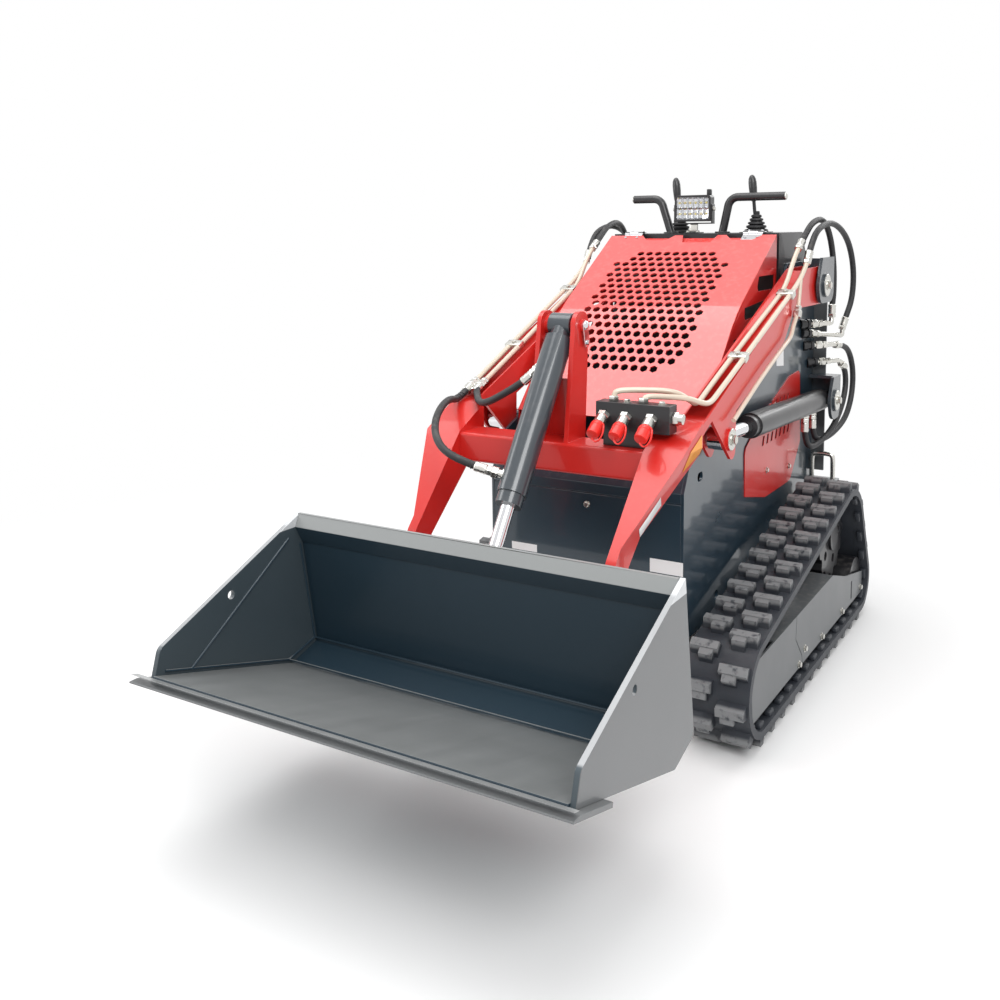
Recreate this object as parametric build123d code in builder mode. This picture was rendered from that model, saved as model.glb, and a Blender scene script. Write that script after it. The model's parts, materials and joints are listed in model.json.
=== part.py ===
from build123d import *
import math
import os

# Stand-on tracked skid steer loader with lift arms and a bucket.
# Millimetres. +X is the machine's left, -Y its front, +Z up, and the ground is z = 0.
# A point on a side view is written (y, z), and a row of an outline is (y, z, corner radius).
# Sides are ("left", 1) and ("right", -1).

os.makedirs("parts", exist_ok=True)
SIDES = (("left", 1), ("right", -1))
FACE_GAP = 0.3
PIN_CLEAR = 0.05

# Body
BODY_HALF = 285.0
SIDE_T = 8.0
BODY_FRONT = -116.0
BODY_REAR = 1045.0
BODY_FLOOR = 250.0
FASCIA_T = 6.0
FASCIA_TOP = (-63.0, 735.0)
FASCIA_BEND_Z = 640.0
FASCIA_SEAM_Z = 612.0
BELLY_T = 8.0
REAR_PLATE_HALF = 327.0
REAR_PLATE_T = 8.0
REAR_PLATE_TOP = 1055.0
REAR_PLATE_BOTTOM = 470.0
SIDE_ROWS = (
    (BODY_FRONT, BODY_FLOOR, 0),
    (BODY_FRONT, FASCIA_BEND_Z, 0),
    (-60, 740, 0),
    (660, 1010, 0),
    (720, 1190, 30),
    (900, 1190, 60),
    (BODY_REAR, 1018, 0),
    (BODY_REAR, BODY_FLOOR, 0),
)
SLOT_CENTRE = (-5.0, 663.0)
SLOT_SIZE = (36.0, 24.0)
SIDE_HOLE = (124.0, 305.0)
SIDE_HOLE_R = 14.0

# Hood, its fixed sides and the console
HOOD_HALF = 276.7
HOOD_T = 5.0
HOOD_ROWS = ((640, 1276, 0), (280.6, 1059.5, 1080), (20, 790, 0))
HOOD_SIDE_FOOT = ((20, 750), (640, 984))
HOOD_HINGE = (653.0, 1283.0)
HINGE_XS = (-200.0, 200.0)
HINGE_HALF = 15.0
HINGE_ARM = 16.0
HINGE_R = 8.0
HINGE_PIN_R = 5.0
HEX_R = 17.0
HEX_PITCH = 44.0
HEX_FIRST = 120.0
HEX_ROWS = 9
HEX_COLUMNS = 7
# Top edge recesses: centre x, width at the edge, width at the bottom, depth
HOOD_RECESSES = ((-108, 112, 56, 28), (32, 118, 90, 42), (176, 116, 60, 28))
# Openings in the fixed hood sides, from the top one down
SIDE_OPENINGS = (
    ((475, 1160, 0), (626, 1160, 0), (626, 1117, 14), (455, 1117, 14)),
    ((352, 1076, 0), (592, 1092, 0), (556, 1052, 14), (350, 1040, 14)),
    ((262, 993, 0), (505, 1014, 0), (470, 984, 14), (272, 962, 14)),
)
CONSOLE_WALL = 6.0
CONSOLE_FRONT = 662.0
CONSOLE_TOP = 1285.0
CONSOLE_BOTTOM = 700.0
CONSOLE_DASH = 915.0
CONSOLE_ROWS = (
    (CONSOLE_FRONT, CONSOLE_TOP, 0),
    (CONSOLE_DASH, CONSOLE_TOP, 15),
    (BODY_REAR, 1055, 15),
    (BODY_REAR, CONSOLE_BOTTOM, 0),
    (CONSOLE_FRONT, CONSOLE_BOTTOM, 0),
)
PANEL_T = 3.0
PANEL_ROWS = (
    (345, 530, 0),
    (338, 670, 30),
    (470, 736, 0),
    (766, 830, 0),
    (877, 836, 20),
    (895, 599, 0),
    (790, 486, 60),
    (531, 488, 60),
)
# Vent rows on the red side panels: first y, z of the middle
VENT_ROWS = ((500, 762), (505, 666))
VENT_COUNT = 7
VENT_PITCH = 42.0
VENT_SIZE = (17.0, 28.0)
VENT_LEAN = 20.0
PANEL_HEX_YS = (530, 590, 650, 710)
PANEL_HEX_Z = 714.0
PANEL_HEX_R = 14.0
ENGINE_SIZE = (380.0, 420.0, 360.0)
ENGINE_Y = 420.0

# Lamp, handles and joysticks
LAMP_PLACE = (-13.0, 700.0, 1365.0)
LAMP_SIZE = (122.0, 34.0, 84.0)
LAMP_CORNER = 10.0
LAMP_RIM = 7.0
LAMP_POCKET = 6.0
LAMP_FINS = 6
FIN_SIZE = (4.0, 12.0, 70.0)
FIN_PITCH = 18.0
YOKE_T = 4.0
YOKE_WIDTH = 24.0
HANDLE_R = 13.0
HANDLE_Y = 720.0
HANDLE_Z = 1398.0
HANDLE_BEND = 34.0
# Handle bars: x of the tip, the bend and the foot
HANDLES = ((-232, -137, -100), (278, 99, 75))
JOYSTICK_XS = (-93.0, 166.0)
JOYSTICK_Y = 780.0
BOOT_R = 38.0
BOOT_H = 60.0
BOOT_SIDES = 10
BOOT_TAPER = 22.0
GRIP_R = 16.0
GRIP_Z = (110.0, 185.0)

# Arms
ARM_PIVOT = (826.0, 1118.0)
KNEE_PIN = (-2.0, 769.0)
ARM_IN = 297.0
ARM_OUT = 362.0
ARM_PLATE_T = 8.0
BOSS_R = 34.0
BEAM_ROWS = (
    (680, 1176, 80),
    (886, 1178, 58),
    (886, 1058, 58),
    (545, 1062, 40),
    (450, 975, 40),
    (45, 836, 0),
    (40, 685, 24),
    (-130, 837, 0),
    (-215, 800, 0),
    (-215, 828, 0),
)
BEAM_TOP = ((-205, 831.9), (665, 1170))
BEAM_UNDER = ((60, 841), (445, 973.5))
LEG_IN = 260.0
LEG_FOOT_OUT = 285.0
LEG_REAR = -192.0
LEG_ROWS = (
    (LEG_REAR, 843, 0),
    (-311, 787, 0),
    (-516, 570, 40),
    (-578, 350, 44),
    (-482, 350, 44),
    (-447, 545, 0),
    (LEG_REAR, 765, 0),
)
LEG_TAPER = (784.0, 600.0)
BUCKET_PIN = (-530.0, 395.0)
CROSS_FRONT = -311.0
CROSS_REAR = -210.0
CROSS_TOP = 784.0
CROSS_HEIGHT = 75.0
CROSS_CORNER = 8.0
TILT_PIN_TOP = (-220.0, 1068.0)
EAR_IN = 42.0
EAR_BOSS_R = 24.0
EAR_BOSS_IN = 31.0
EAR_T = 12.0
EAR_R = 34.0
GUSSET_T = 8.0
GUSSET_TOP = 930.0

# Auxiliary hydraulics on the arms
BLOCK_SPAN = ((123.0, 315.0), (-286.0, -240.0), (824.0, 892.0))
BLOCK_FOOT = ((140.0, 250.0), (-280.0, -250.0))
TUBE_R = 7.0
TUBE_RISE = 12.0
TUBE_YS = (-118.0, 540.0)
# Tubes on each beam: side, and x of both
TUBE_XS = ((1, (322.0, 350.0)), (-1, (318.0, 346.0)))
CLAMP_YS = (37.0, 429.0)
CLAMP_HALF = 14.0
CLAMP_EDGE = 4.0

# Rear brackets, pins and lift cylinders
LIFT_PIN = (BODY_REAR - 59.0, 727.0)
BRACKET_OUT = 378.0
BRACKET_T = 10.0
PIN_R = 16.0
DISC_R = 38.0
DISC_T = 6.0
UPPER_BACK = 925.0
UPPER_ROWS = ((772, 1062, 40), (748, 1120, 30), (790, 1205, 0), (UPPER_BACK, 1205, 0), (UPPER_BACK, 1062, 40))
LOWER_BACK = BODY_REAR - FACE_GAP
LOWER_TOP = 806.0
LOWER_TOP_FRONT = 990.0
LOWER_ROWS = (
    (918, 735, 40),
    (960, LOWER_TOP, 0),
    (LOWER_BACK, LOWER_TOP, 0),
    (LOWER_BACK, 665, 30),
    (945, 662, 50),
)
CYL_X = 329.5
EYE_R = 30.0
EYE_WIDTH = 38.0
ROD_CLEAR = 0.05
LIFT_BARREL_R = 36.0
LIFT_BARREL_START = 22.0
LIFT_GLAND = (730.0, 760.0)
LIFT_GLAND_R = 31.0
LIFT_ROD_R = 18.0
LIFT_ROD_LEN = 860.0
LIFT_RETRACT = 69.0

# Tilt cylinder
TILT_PIN_LOW = (-580.0, 548.0)
TILT_EYE_WIDTH = 60.0
TILT_BARREL_R = 36.0
TILT_BARREL_START = 42.0
TILT_NECK_R = 26.0
TILT_GLAND = (462.0, 490.0)
TILT_GLAND_R = 32.0
TILT_ROD_R = 17.0
TILT_ROD_LEN = 530.0
TILT_RETRACT = 40.0

# Bucket, in its carrying pose
BUCKET_HALF = 510.0
BUCKET_SIDE_T = 12.0
BUCKET_SHEET_T = 8.0
BUCKET_BEND = 12.0
EDGE_TIP = (-1174.8, 389.5)
MOUTH_TOP = (-675.0, 622.0)
SIDE_BEND = (-1118.0, 431.0)
FLOOR_BEND = (-716.0, 254.0)
BACK_BEND = (-624.0, 281.0)
LIP = (MOUTH_TOP, (-689.0, 591.0), (-667.0, 549.0))
FLOOR_SETBACK = 35.0
PLATE_SETBACK = 41.5
EDGE_T = 10.0
EDGE_DEPTH = 150.0
EDGE_BEVEL = (20.0, 6.0)
EDGE_OVERHANG = 17.8
PLATE_HOLE = (-908.0, 486.0)
PLATE_HOLE_R = 10.0
ATTACH_HALF = 314.0
ATTACH_T = 12.0
ATTACH_SPAN = (30.0, 310.0)
# Plates that hold the bucket's pins: inner and outer x
ATTACH_EARS = ((236, 252), (293, 309))
ATTACH_EAR_R = 36.0
CLEVIS = (27.0, 42.0)
CLEVIS_HEAD_R = 26.0

# Undercarriage
TRACK_OUT = 485.0
TRACK_WIDTH = 171.0
LUG_H = 27.0
BELT_T = 20.0
LUG_STEP = 90.5
LUG_ROOT = 7.0
# Lug bars and humps: x from the row's inner edge, height below the lug's, then along the belt at root and top
LUG_PARTS = (((0.0, 71.5), 0.4, (-20.0, 20.0), (-11.0, 11.0)), ((10.5, 44.5), 4.0, (9.0, 36.0), (9.0, 30.0)))
LUG_ROW_GAP = 7.5
# Wheels inside the belt: y, z, radius over the lugs
FRONT_IDLER = (-60.0, 155.0, 155.0)
SPROCKET = (810.0, 312.0, 185.0)
REAR_IDLER = (970.0, 125.0, 125.0)
WHEELS = (FRONT_IDLER, SPROCKET, REAR_IDLER)
WHEEL_HALF = 60.0
AXLE_R = 22.0
SPROCKET_HALF = 20.0
SPROCKET_TEETH = 13
TOOTH_H = 17.0
SPROCKET_HOLES = 5
SPROCKET_HOLE_R = 15.0
SPROCKET_HOLE_RING = 82.0
ROLLER_YS = (180.0, 400.0, 620.0)
ROLLER_R = 50.0
GUARD_X = 66.0
GUARD_T = 5.0
GUARD_ROWS = ((-136, 229, 0), (640, 240, 90), (800, 190, 90), (1020, 145, 0), (1020, 75, 0), (-114, 75, 0))
GUARD_SPLIT = ((256, 245), (249, 169), (311, 103), (323, 70))
SPLIT_WIDTH = 3.0
GUARD_SLOT = ((873.0, 887.0), (90.0, 150.0))
GUARD_TOP = ((60, 227), (640, 235), (640, 240), (60, 232))
FRAME_IN = 318.0
FRAME_OUT = 336.0
FRAME_ROWS = (
    (-100, 110, 0),
    (-100, 200, 0),
    (700, 350, 60),
    (860, 350, 60),
    (1010, 160, 0),
    (1010, 90, 0),
    (-80, 90, 0),
)
FRAME_MOUNT_YS = (330.0, 640.0)
FRAME_MOUNT = (160.0, 50.0)

# Operator's platform
PLATFORM_FRONT = BODY_REAR + 20.0
PLATFORM_REAR = 1180.0
PLATFORM_HALF = 255.0
PLATFORM_T = 6.0
PLATFORM_STEP = 6.0
PLATFORM_FLANGE = 34.0
BEARER_FRONT = BODY_REAR - 125.0
BEARER_XS = (-200.0, 200.0)
BEARER_WIDTH = 40.0
BEARER_HEIGHT = 40.0


def side_view(rows):
    """Points and corner radii of an outline's rows."""
    return [(y, z) for y, z, _ in rows], [radius for *_, radius in rows]


def panel(points, x_from, x_to, mode=Mode.ADD):
    """Adds or cuts a flat panel with a sharp-cornered side-view outline."""
    with BuildSketch(Plane.YZ.offset(x_from)) as outline:
        with BuildLine():
            Polyline(*points, close=True)
        make_face()
    extrude(to_extrude=outline.sketch, amount=x_to - x_from, mode=mode)


def rounded_panel(rows, x_from, x_to, mode=Mode.ADD):
    """Adds or cuts a flat panel whose side-view corners are rounded."""
    points, radii = side_view(rows)
    with BuildSketch(Plane.YZ.offset(x_from)) as outline:
        with BuildLine():
            FilletPolyline(*points, radius=radii, close=True)
        make_face()
    extrude(to_extrude=outline.sketch, amount=x_to - x_from, mode=mode)


def cross_pin(centre, radius, x_from, x_to, mode=Mode.ADD):
    """Adds or cuts a round bar that runs across the machine."""
    with BuildSketch(Plane.YZ.offset(x_from)) as section:
        with Locations(centre):
            Circle(radius)
    extrude(to_extrude=section.sketch, amount=x_to - x_from, mode=mode)


def box(y_span, z_span, x_from, x_to, mode=Mode.ADD):
    """Adds or cuts a square-edged block given by its spans."""
    (y0, y1), (z0, z1) = y_span, z_span
    panel(((y0, z0), (y1, z0), (y1, z1), (y0, z1)), x_from, x_to, mode)


def round_bar(start, direction, span, radius, mode=Mode.ADD):
    """Adds or cuts a round bar along a direction, between two distances from a start point."""
    with BuildSketch(Plane(start + direction * span[0], z_dir=direction)) as section:
        Circle(radius)
    extrude(to_extrude=section.sketch, amount=span[1] - span[0], mode=mode)


def bent_tube(points, radius, bend=None):
    """Adds a round tube along straight runs joined by arcs, each as large as its runs allow unless given."""
    spots = [Vector(*point) for point in points]
    bends = []
    for before, here, after in zip(spots, spots[1:], spots[2:]):
        turn = math.radians((here - before).get_angle(after - here))
        shorter = min((here - before).length, (after - here).length)
        bends.append(bend or 0.45 * shorter / math.tan(turn / 2))
    with BuildLine():
        route = FilletPolyline(*spots, radius=bends)
    with BuildSketch(Plane(route @ 0, z_dir=route % 0)) as section:
        Circle(radius)
    sweep(sections=section.sketch, path=route)
    return min(bends)


def offset_line(points, distance):
    """The same open side-view line, moved square to its runs."""
    normals = []
    for (y0, z0), (y1, z1) in zip(points, points[1:]):
        length = math.hypot(y1 - y0, z1 - z0)
        normals.append(((z0 - z1) / length, (y1 - y0) / length))
    befores = normals[:1] + normals
    afters = normals + normals[-1:]
    moved = []
    for (y, z), (ay, az), (by, bz) in zip(points, befores, afters):
        reach = distance / (1 + ay * by + az * bz)
        moved.append((y + (ay + by) * reach, z + (az + bz) * reach))
    return moved


def offset_rows(rows, distance):
    """Rows of an open outline moved square to its runs, with the bends kept concentric."""
    points, radii = side_view(rows)
    moved = [(*spot, radius) for spot, radius in zip(offset_line(points, distance), radii)]
    for i in range(1, len(rows) - 1):
        (y0, z0), (y1, z1), (y2, z2) = points[i - 1 : i + 2]
        left_turn = (y1 - y0) * (z2 - z1) > (z1 - z0) * (y2 - y1)
        moved[i] = (*moved[i][:2], radii[i] - distance if left_turn else radii[i] + distance)
    return moved


def bent_edge(rows):
    """Draws an open outline with its inner corners rounded, inside a line block."""
    points, radii = side_view(rows)
    return FilletPolyline(*points, radius=radii[1:-1])


def bent_sheet(rows, thickness, x_from, x_to):
    """Adds a folded sheet: an open outline and its parallel, a thickness away."""
    far = offset_rows(rows, thickness)
    with BuildSketch(Plane.YZ.offset(x_from)) as section:
        with BuildLine():
            bent_edge(rows)
            bent_edge(far)
            Line(rows[0][:2], far[0][:2])
            Line(rows[-1][:2], far[-1][:2])
        make_face()
    extrude(to_extrude=section.sketch, amount=x_to - x_from)


def save(piece, name):
    """Labels a finished piece and writes it."""
    piece.part.label = name
    export_step(piece.part, f"parts/{name}.step")


# Body sides, front, belly and rear
for side, sign in SIDES:
    skin = sign * (BODY_HALF - 2 * SIDE_T), sign * (BODY_HALF + SIDE_T)
    with BuildPart() as body_side:
        rounded_panel(SIDE_ROWS, sign * (BODY_HALF - SIDE_T), sign * BODY_HALF)
        y, z = SLOT_CENTRE
        reach, rise = SLOT_SIZE[0] / 2, SLOT_SIZE[1] / 2
        corners = ((-reach, -rise), (reach, -rise), (reach, rise), (-reach, rise))
        slot = [(y + dy, z + dz, rise - 1) for dy, dz in corners]
        rounded_panel(slot, *skin, Mode.SUBTRACT)
        cross_pin(SIDE_HOLE, SIDE_HOLE_R, *skin, Mode.SUBTRACT)
        for pin in (ARM_PIVOT, LIFT_PIN):
            cross_pin(pin, PIN_R + PIN_CLEAR, *skin, Mode.SUBTRACT)
    save(body_side, f"body_side_{side}")

INNER_HALF = BODY_HALF - SIDE_T - FACE_GAP
with BuildPart() as front_fascia:
    fascia_rows = ((BODY_FRONT, BODY_FLOOR, 0), (BODY_FRONT, FASCIA_BEND_Z, 10), (*FASCIA_TOP, 0))
    bent_sheet(fascia_rows, -FASCIA_T, -INNER_HALF, INNER_HALF)
    seam = (BODY_FRONT - 1, BODY_FRONT + FASCIA_T / 3), (FASCIA_SEAM_Z - 2, FASCIA_SEAM_Z + 2)
    box(*seam, -INNER_HALF, INNER_HALF, Mode.SUBTRACT)
save(front_fascia, "front_fascia")

with BuildPart() as belly_plate:
    run = BODY_FRONT + FASCIA_T + FACE_GAP, BODY_REAR - FACE_GAP
    box(run, (BODY_FLOOR, BODY_FLOOR + BELLY_T), -INNER_HALF, INNER_HALF)
save(belly_plate, "belly_plate")

with BuildPart() as rear_plate:
    height = REAR_PLATE_TOP - REAR_PLATE_BOTTOM
    with BuildSketch(Plane.XZ.offset(-(BODY_REAR + FACE_GAP + REAR_PLATE_T))):
        with Locations((0, REAR_PLATE_BOTTOM + height / 2)):
            Rectangle(2 * REAR_PLATE_HALF, height)
        with Locations((0, (REAR_PLATE_BOTTOM + BODY_FLOOR + height) / 2)):
            Rectangle(2 * BODY_HALF, REAR_PLATE_BOTTOM + height - BODY_FLOOR)
    extrude(amount=REAR_PLATE_T)
save(rear_plate, "rear_plate")

with BuildPart() as engine_block:
    with Locations((0, ENGINE_Y, BODY_FLOOR + BELLY_T + ENGINE_SIZE[2] / 2)):
        Box(*ENGINE_SIZE)
save(engine_block, "engine_block")

# Hood: a bent sheet with a field of six-sided holes, recesses along its top edge and two hinge knuckles
with BuildLine(Plane.YZ):
    hood_line = bent_edge(HOOD_ROWS)

with BuildPart() as hood:
    bent_sheet(offset_rows(HOOD_ROWS, -FACE_GAP), -HOOD_T, -HOOD_HALF, HOOD_HALF)
    for row in range(HEX_ROWS):
        distance = HEX_FIRST + row * HEX_PITCH * math.sin(math.radians(60))
        middle = hood_line.position_at(distance, position_mode=PositionMode.LENGTH)
        heading = hood_line.tangent_at(distance, position_mode=PositionMode.LENGTH)
        columns = HEX_COLUMNS - row % 2
        with BuildSketch(Plane(middle, x_dir=(1, 0, 0), z_dir=Vector(1, 0, 0).cross(heading))) as holes:
            with GridLocations(HEX_PITCH, 1, columns, 1):
                RegularPolygon(HEX_R, 6, rotation=30)
        extrude(to_extrude=holes.sketch, amount=3 * HOOD_T, both=True, mode=Mode.SUBTRACT)
    top_edge = hood_line @ 0
    top_heading = hood_line % 0
    with BuildSketch(Plane(top_edge, x_dir=(1, 0, 0), z_dir=Vector(1, 0, 0).cross(top_heading))) as recesses:
        for x, width, low_width, depth in HOOD_RECESSES:
            with Locations((x, 0)):
                Rectangle(width, depth)
                with Locations((0, depth / 2)):
                    Rectangle(low_width, depth)
    extrude(to_extrude=recesses.sketch, amount=3 * HOOD_T, both=True, mode=Mode.SUBTRACT)
    for x in HINGE_XS:
        leaf = (
            (HOOD_ROWS[0][0] - 20, HOOD_ROWS[0][1] - 9.5),
            (HOOD_HINGE[0], HOOD_HINGE[1] - HINGE_R + 1),
            (HOOD_HINGE[0], HOOD_HINGE[1] + HINGE_R),
            (HOOD_ROWS[0][0] - 22, HOOD_ROWS[0][1] - 2),
        )
        panel(leaf, x - HINGE_HALF, x + HINGE_HALF)
        cross_pin(HOOD_HINGE, HINGE_R, x - HINGE_HALF, x + HINGE_HALF)
        bore = x - HINGE_HALF - 1, x + HINGE_HALF + 1
        cross_pin(HOOD_HINGE, HINGE_PIN_R + PIN_CLEAR, *bore, Mode.SUBTRACT)
save(hood, "hood")

with BuildPart() as hood_sides:
    for _, sign in SIDES:
        near = sign * (HOOD_HALF - HOOD_T)
        with BuildSketch(Plane.YZ.offset(near)) as outline:
            with BuildLine():
                bent_edge(HOOD_ROWS)
                Polyline(HOOD_ROWS[-1][:2], *HOOD_SIDE_FOOT, HOOD_ROWS[0][:2])
            make_face()
        extrude(to_extrude=outline.sketch, amount=sign * HOOD_T)
        for rows in SIDE_OPENINGS:
            rounded_panel(rows, near - sign * HOOD_T, near + sign * 2 * HOOD_T, Mode.SUBTRACT)
save(hood_sides, "hood_sides")

with BuildPart() as side_panels:
    lean = VENT_SIZE[1] * math.tan(math.radians(VENT_LEAN)) / 2
    for _, sign in SIDES:
        near = sign * (BODY_HALF + FACE_GAP)
        far = near + sign * PANEL_T
        rounded_panel(PANEL_ROWS, near, far)
        with BuildSketch(Plane.YZ.offset(near)) as vents:
            for y, z in VENT_ROWS:
                with Locations((y + (VENT_COUNT - 1) * VENT_PITCH / 2, z)):
                    with GridLocations(VENT_PITCH, 1, VENT_COUNT, 1):
                        half_y, half_z = VENT_SIZE[0] / 2, VENT_SIZE[1] / 2
                        Polygon(
                            (-half_y - lean, -half_z),
                            (half_y - lean, -half_z),
                            (half_y + lean, half_z),
                            (-half_y + lean, half_z),
                            align=None,
                        )
            with Locations([(y, PANEL_HEX_Z) for y in PANEL_HEX_YS]):
                RegularPolygon(PANEL_HEX_R, 6)
        extrude(to_extrude=vents.sketch, amount=sign * PANEL_T, mode=Mode.SUBTRACT)
save(side_panels, "side_panels")

with BuildPart() as console:
    rounded_panel(CONSOLE_ROWS, -HOOD_HALF, HOOD_HALF)
    shoulders = [row[:2] for row in CONSOLE_ROWS[:4]]
    shoulders = [(CONSOLE_FRONT, CONSOLE_BOTTOM - 2 * CONSOLE_WALL)] + shoulders
    shoulders[-1] = (BODY_REAR, CONSOLE_BOTTOM - 2 * CONSOLE_WALL)
    inside = offset_line(shoulders, -CONSOLE_WALL)
    panel(inside, CONSOLE_WALL - HOOD_HALF, HOOD_HALF - CONSOLE_WALL, Mode.SUBTRACT)
    for x in HINGE_XS:
        arm_reach = HINGE_HALF + HINGE_ARM
        cross_pin(HOOD_HINGE, HINGE_PIN_R, x - arm_reach, x + arm_reach)
        for _, sign in SIDES:
            near = x + sign * (HINGE_HALF + FACE_GAP)
            tab = (HOOD_HINGE[0] - HINGE_R, CONSOLE_FRONT + 1), (HOOD_HINGE[1] - HINGE_R, HOOD_HINGE[1] + HINGE_R)
            box(*tab, near, near + sign * HINGE_ARM)
save(console, "console")

# Lamp: a finned housing with a recessed face, held in a yoke
with BuildPart() as work_lamp:
    x, y, z = LAMP_PLACE
    width, depth, height = LAMP_SIZE
    seat = CONSOLE_TOP + FACE_GAP
    with BuildSketch(Plane.XZ.offset(-y - depth / 2)):
        with Locations((x, z)):
            RectangleRounded(width, height, LAMP_CORNER)
    extrude(amount=depth)
    with BuildSketch(Plane.XZ.offset(-y + depth / 2)) as pocket:
        with Locations((x, z)):
            RectangleRounded(width - 2 * LAMP_RIM, height - 2 * LAMP_RIM, LAMP_CORNER - LAMP_RIM / 2)
    extrude(to_extrude=pocket.sketch, amount=-LAMP_POCKET, mode=Mode.SUBTRACT)
    with Locations((x, y + depth / 2 + FIN_SIZE[1] / 2 - 1, z)):
        with GridLocations(FIN_PITCH, 1, LAMP_FINS, 1):
            Box(*FIN_SIZE)
    yoke_foot = z - height / 2 - YOKE_T * 2
    for sign in (1, -1):
        edge = x + sign * width / 2
        cheek = (y - YOKE_WIDTH / 2, y + YOKE_WIDTH / 2), (yoke_foot, z + YOKE_WIDTH / 2)
        box(*cheek, edge, edge + sign * YOKE_T)
    box((y - YOKE_WIDTH / 2, y + YOKE_WIDTH / 2), (yoke_foot, yoke_foot + YOKE_T), x - width / 2, x + width / 2)
    box((y - YOKE_T, y + YOKE_T), (seat, yoke_foot), x - YOKE_WIDTH / 2, x + YOKE_WIDTH / 2)
    box((y - YOKE_WIDTH, y + YOKE_WIDTH), (seat, seat + YOKE_T), x - YOKE_WIDTH, x + YOKE_WIDTH)
save(work_lamp, "work_lamp")

with BuildPart() as handles:
    for tip, corner, foot in HANDLES:
        points = (foot, HANDLE_Y, CONSOLE_TOP + FACE_GAP), (corner, HANDLE_Y, HANDLE_Z), (tip, HANDLE_Y, HANDLE_Z)
        bent_tube(points, HANDLE_R, HANDLE_BEND)
    bottom = Plane.XY.offset(CONSOLE_TOP + FACE_GAP)
    split(bisect_by=bottom, keep=Keep.TOP)
save(handles, "handles")

with BuildPart() as joysticks:
    seat = CONSOLE_TOP + FACE_GAP
    upright = Align.CENTER, Align.CENTER, Align.MIN
    for x in JOYSTICK_XS:
        with Locations((x, JOYSTICK_Y, seat)):
            Cylinder(GRIP_R / 2, GRIP_Z[1] - GRIP_R, align=upright)
        with BuildSketch(Plane((x, JOYSTICK_Y, seat))) as boot:
            RegularPolygon(BOOT_R, BOOT_SIDES)
        extrude(to_extrude=boot.sketch, amount=BOOT_H, taper=BOOT_TAPER)
        with Locations((x, JOYSTICK_Y, CONSOLE_TOP + GRIP_Z[0])):
            Cylinder(GRIP_R, GRIP_Z[1] - GRIP_Z[0], align=upright)
save(joysticks, "joysticks")

# Rear brackets: a pair on each side, with the pins that the arms and lift cylinders turn on
for side, sign in SIDES:
    outer = sign * BRACKET_OUT
    skin = sign * (BODY_HALF + FACE_GAP)
    with BuildPart() as rear_bracket:
        for pin, rows, back in ((ARM_PIVOT, UPPER_ROWS, UPPER_BACK), (LIFT_PIN, LOWER_ROWS, LOWER_BACK)):
            heights = [z for _, z, _ in rows]
            rounded_panel(rows, outer - sign * BRACKET_T, outer)
            box((back - BRACKET_T, back), (min(heights) + EYE_R, max(heights) - DISC_T), skin, outer - sign)
            cross_pin(pin, PIN_R, sign * (BODY_HALF - SIDE_T), outer + sign * DISC_T)
            cross_pin(pin, DISC_R, outer, outer + sign * DISC_T)
        box((LOWER_TOP_FRONT, LOWER_BACK), (LOWER_TOP - BRACKET_T, LOWER_TOP), skin, outer - sign)
    save(rear_bracket, f"rear_bracket_{side}")

# Tracks, wheels, guards and frames
TRACK_IN = TRACK_OUT - TRACK_WIDTH
TRACK_MID = TRACK_OUT - TRACK_WIDTH / 2
INSIDE = LUG_H + BELT_T + FACE_GAP


def belt_runs(inset):
    """Wheel circles shrunk by an inset, and the straight runs of the belt between them."""
    circles = [(y, z, r - inset) for y, z, r in WHEELS]
    runs = []
    for i, (y0, z0, r0) in enumerate(circles):
        y1, z1, r1 = circles[(i + 1) % len(circles)]
        gap = math.hypot(y1 - y0, z1 - z0)
        normal = math.atan2(z1 - z0, y1 - y0) + math.pi / 2 + math.asin((r1 - r0) / gap)
        c, s = math.cos(normal), math.sin(normal)
        runs.append(((y0 + r0 * c, z0 + r0 * s), (y1 + r1 * c, z1 + r1 * s)))
    return circles, runs


def wrap_angles(circle, arrive, leave):
    """Angle at which the belt meets a wheel, and how far it follows it round."""
    y, z, _ = circle
    start = math.atan2(arrive[1] - z, arrive[0] - y)
    end = math.atan2(leave[1] - z, leave[0] - y)
    return start, (start - end) % (2 * math.pi)


def belt_solid(inset, x_from, x_to, mode=Mode.ADD):
    """Adds or cuts the closed belt loop, an inset inside the lugs' tips."""
    circles, runs = belt_runs(inset)
    with BuildSketch(Plane.YZ.offset(x_from)) as face:
        with BuildLine():
            for i, circle in enumerate(circles):
                y, z, r = circle
                arrive, leave = runs[i - 1][1], runs[i][0]
                start, wrap = wrap_angles(circle, arrive, leave)
                middle = start - wrap / 2
                ThreePointArc(arrive, (y + r * math.cos(middle), z + r * math.sin(middle)), leave)
                Line(leave, runs[i][1])
        make_face()
    extrude(to_extrude=face.sketch, amount=x_to - x_from, mode=mode)


def belt_stations(shift):
    """(y, z, angle) of each lug on the belt's face, shifted along by a share of one step."""
    circles, runs = belt_runs(LUG_H)
    pieces = []
    for i, circle in enumerate(circles):
        start, wrap = wrap_angles(circle, runs[i - 1][1], runs[i][0])
        pieces.append((wrap * circle[2], circle, start))
        pieces.append((math.dist(*runs[i]), runs[i], None))
    total = sum(length for length, *_ in pieces)
    count = round(total / LUG_STEP)
    stations = []
    for k in range(count):
        left = (k + shift) * total / count
        for length, shape, start in pieces:
            if left <= length:
                break
            left -= length
        if start is None:
            (y0, z0), (y1, z1) = shape
            share = left / length
            angle = math.atan2(z1 - z0, y1 - y0) + math.pi / 2
            stations.append((y0 + (y1 - y0) * share, z0 + (z1 - z0) * share, math.degrees(angle)))
        else:
            y, z, r = shape
            angle = start - left / r
            stations.append((y + r * math.cos(angle), z + r * math.sin(angle), math.degrees(angle)))
    return stations


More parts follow.
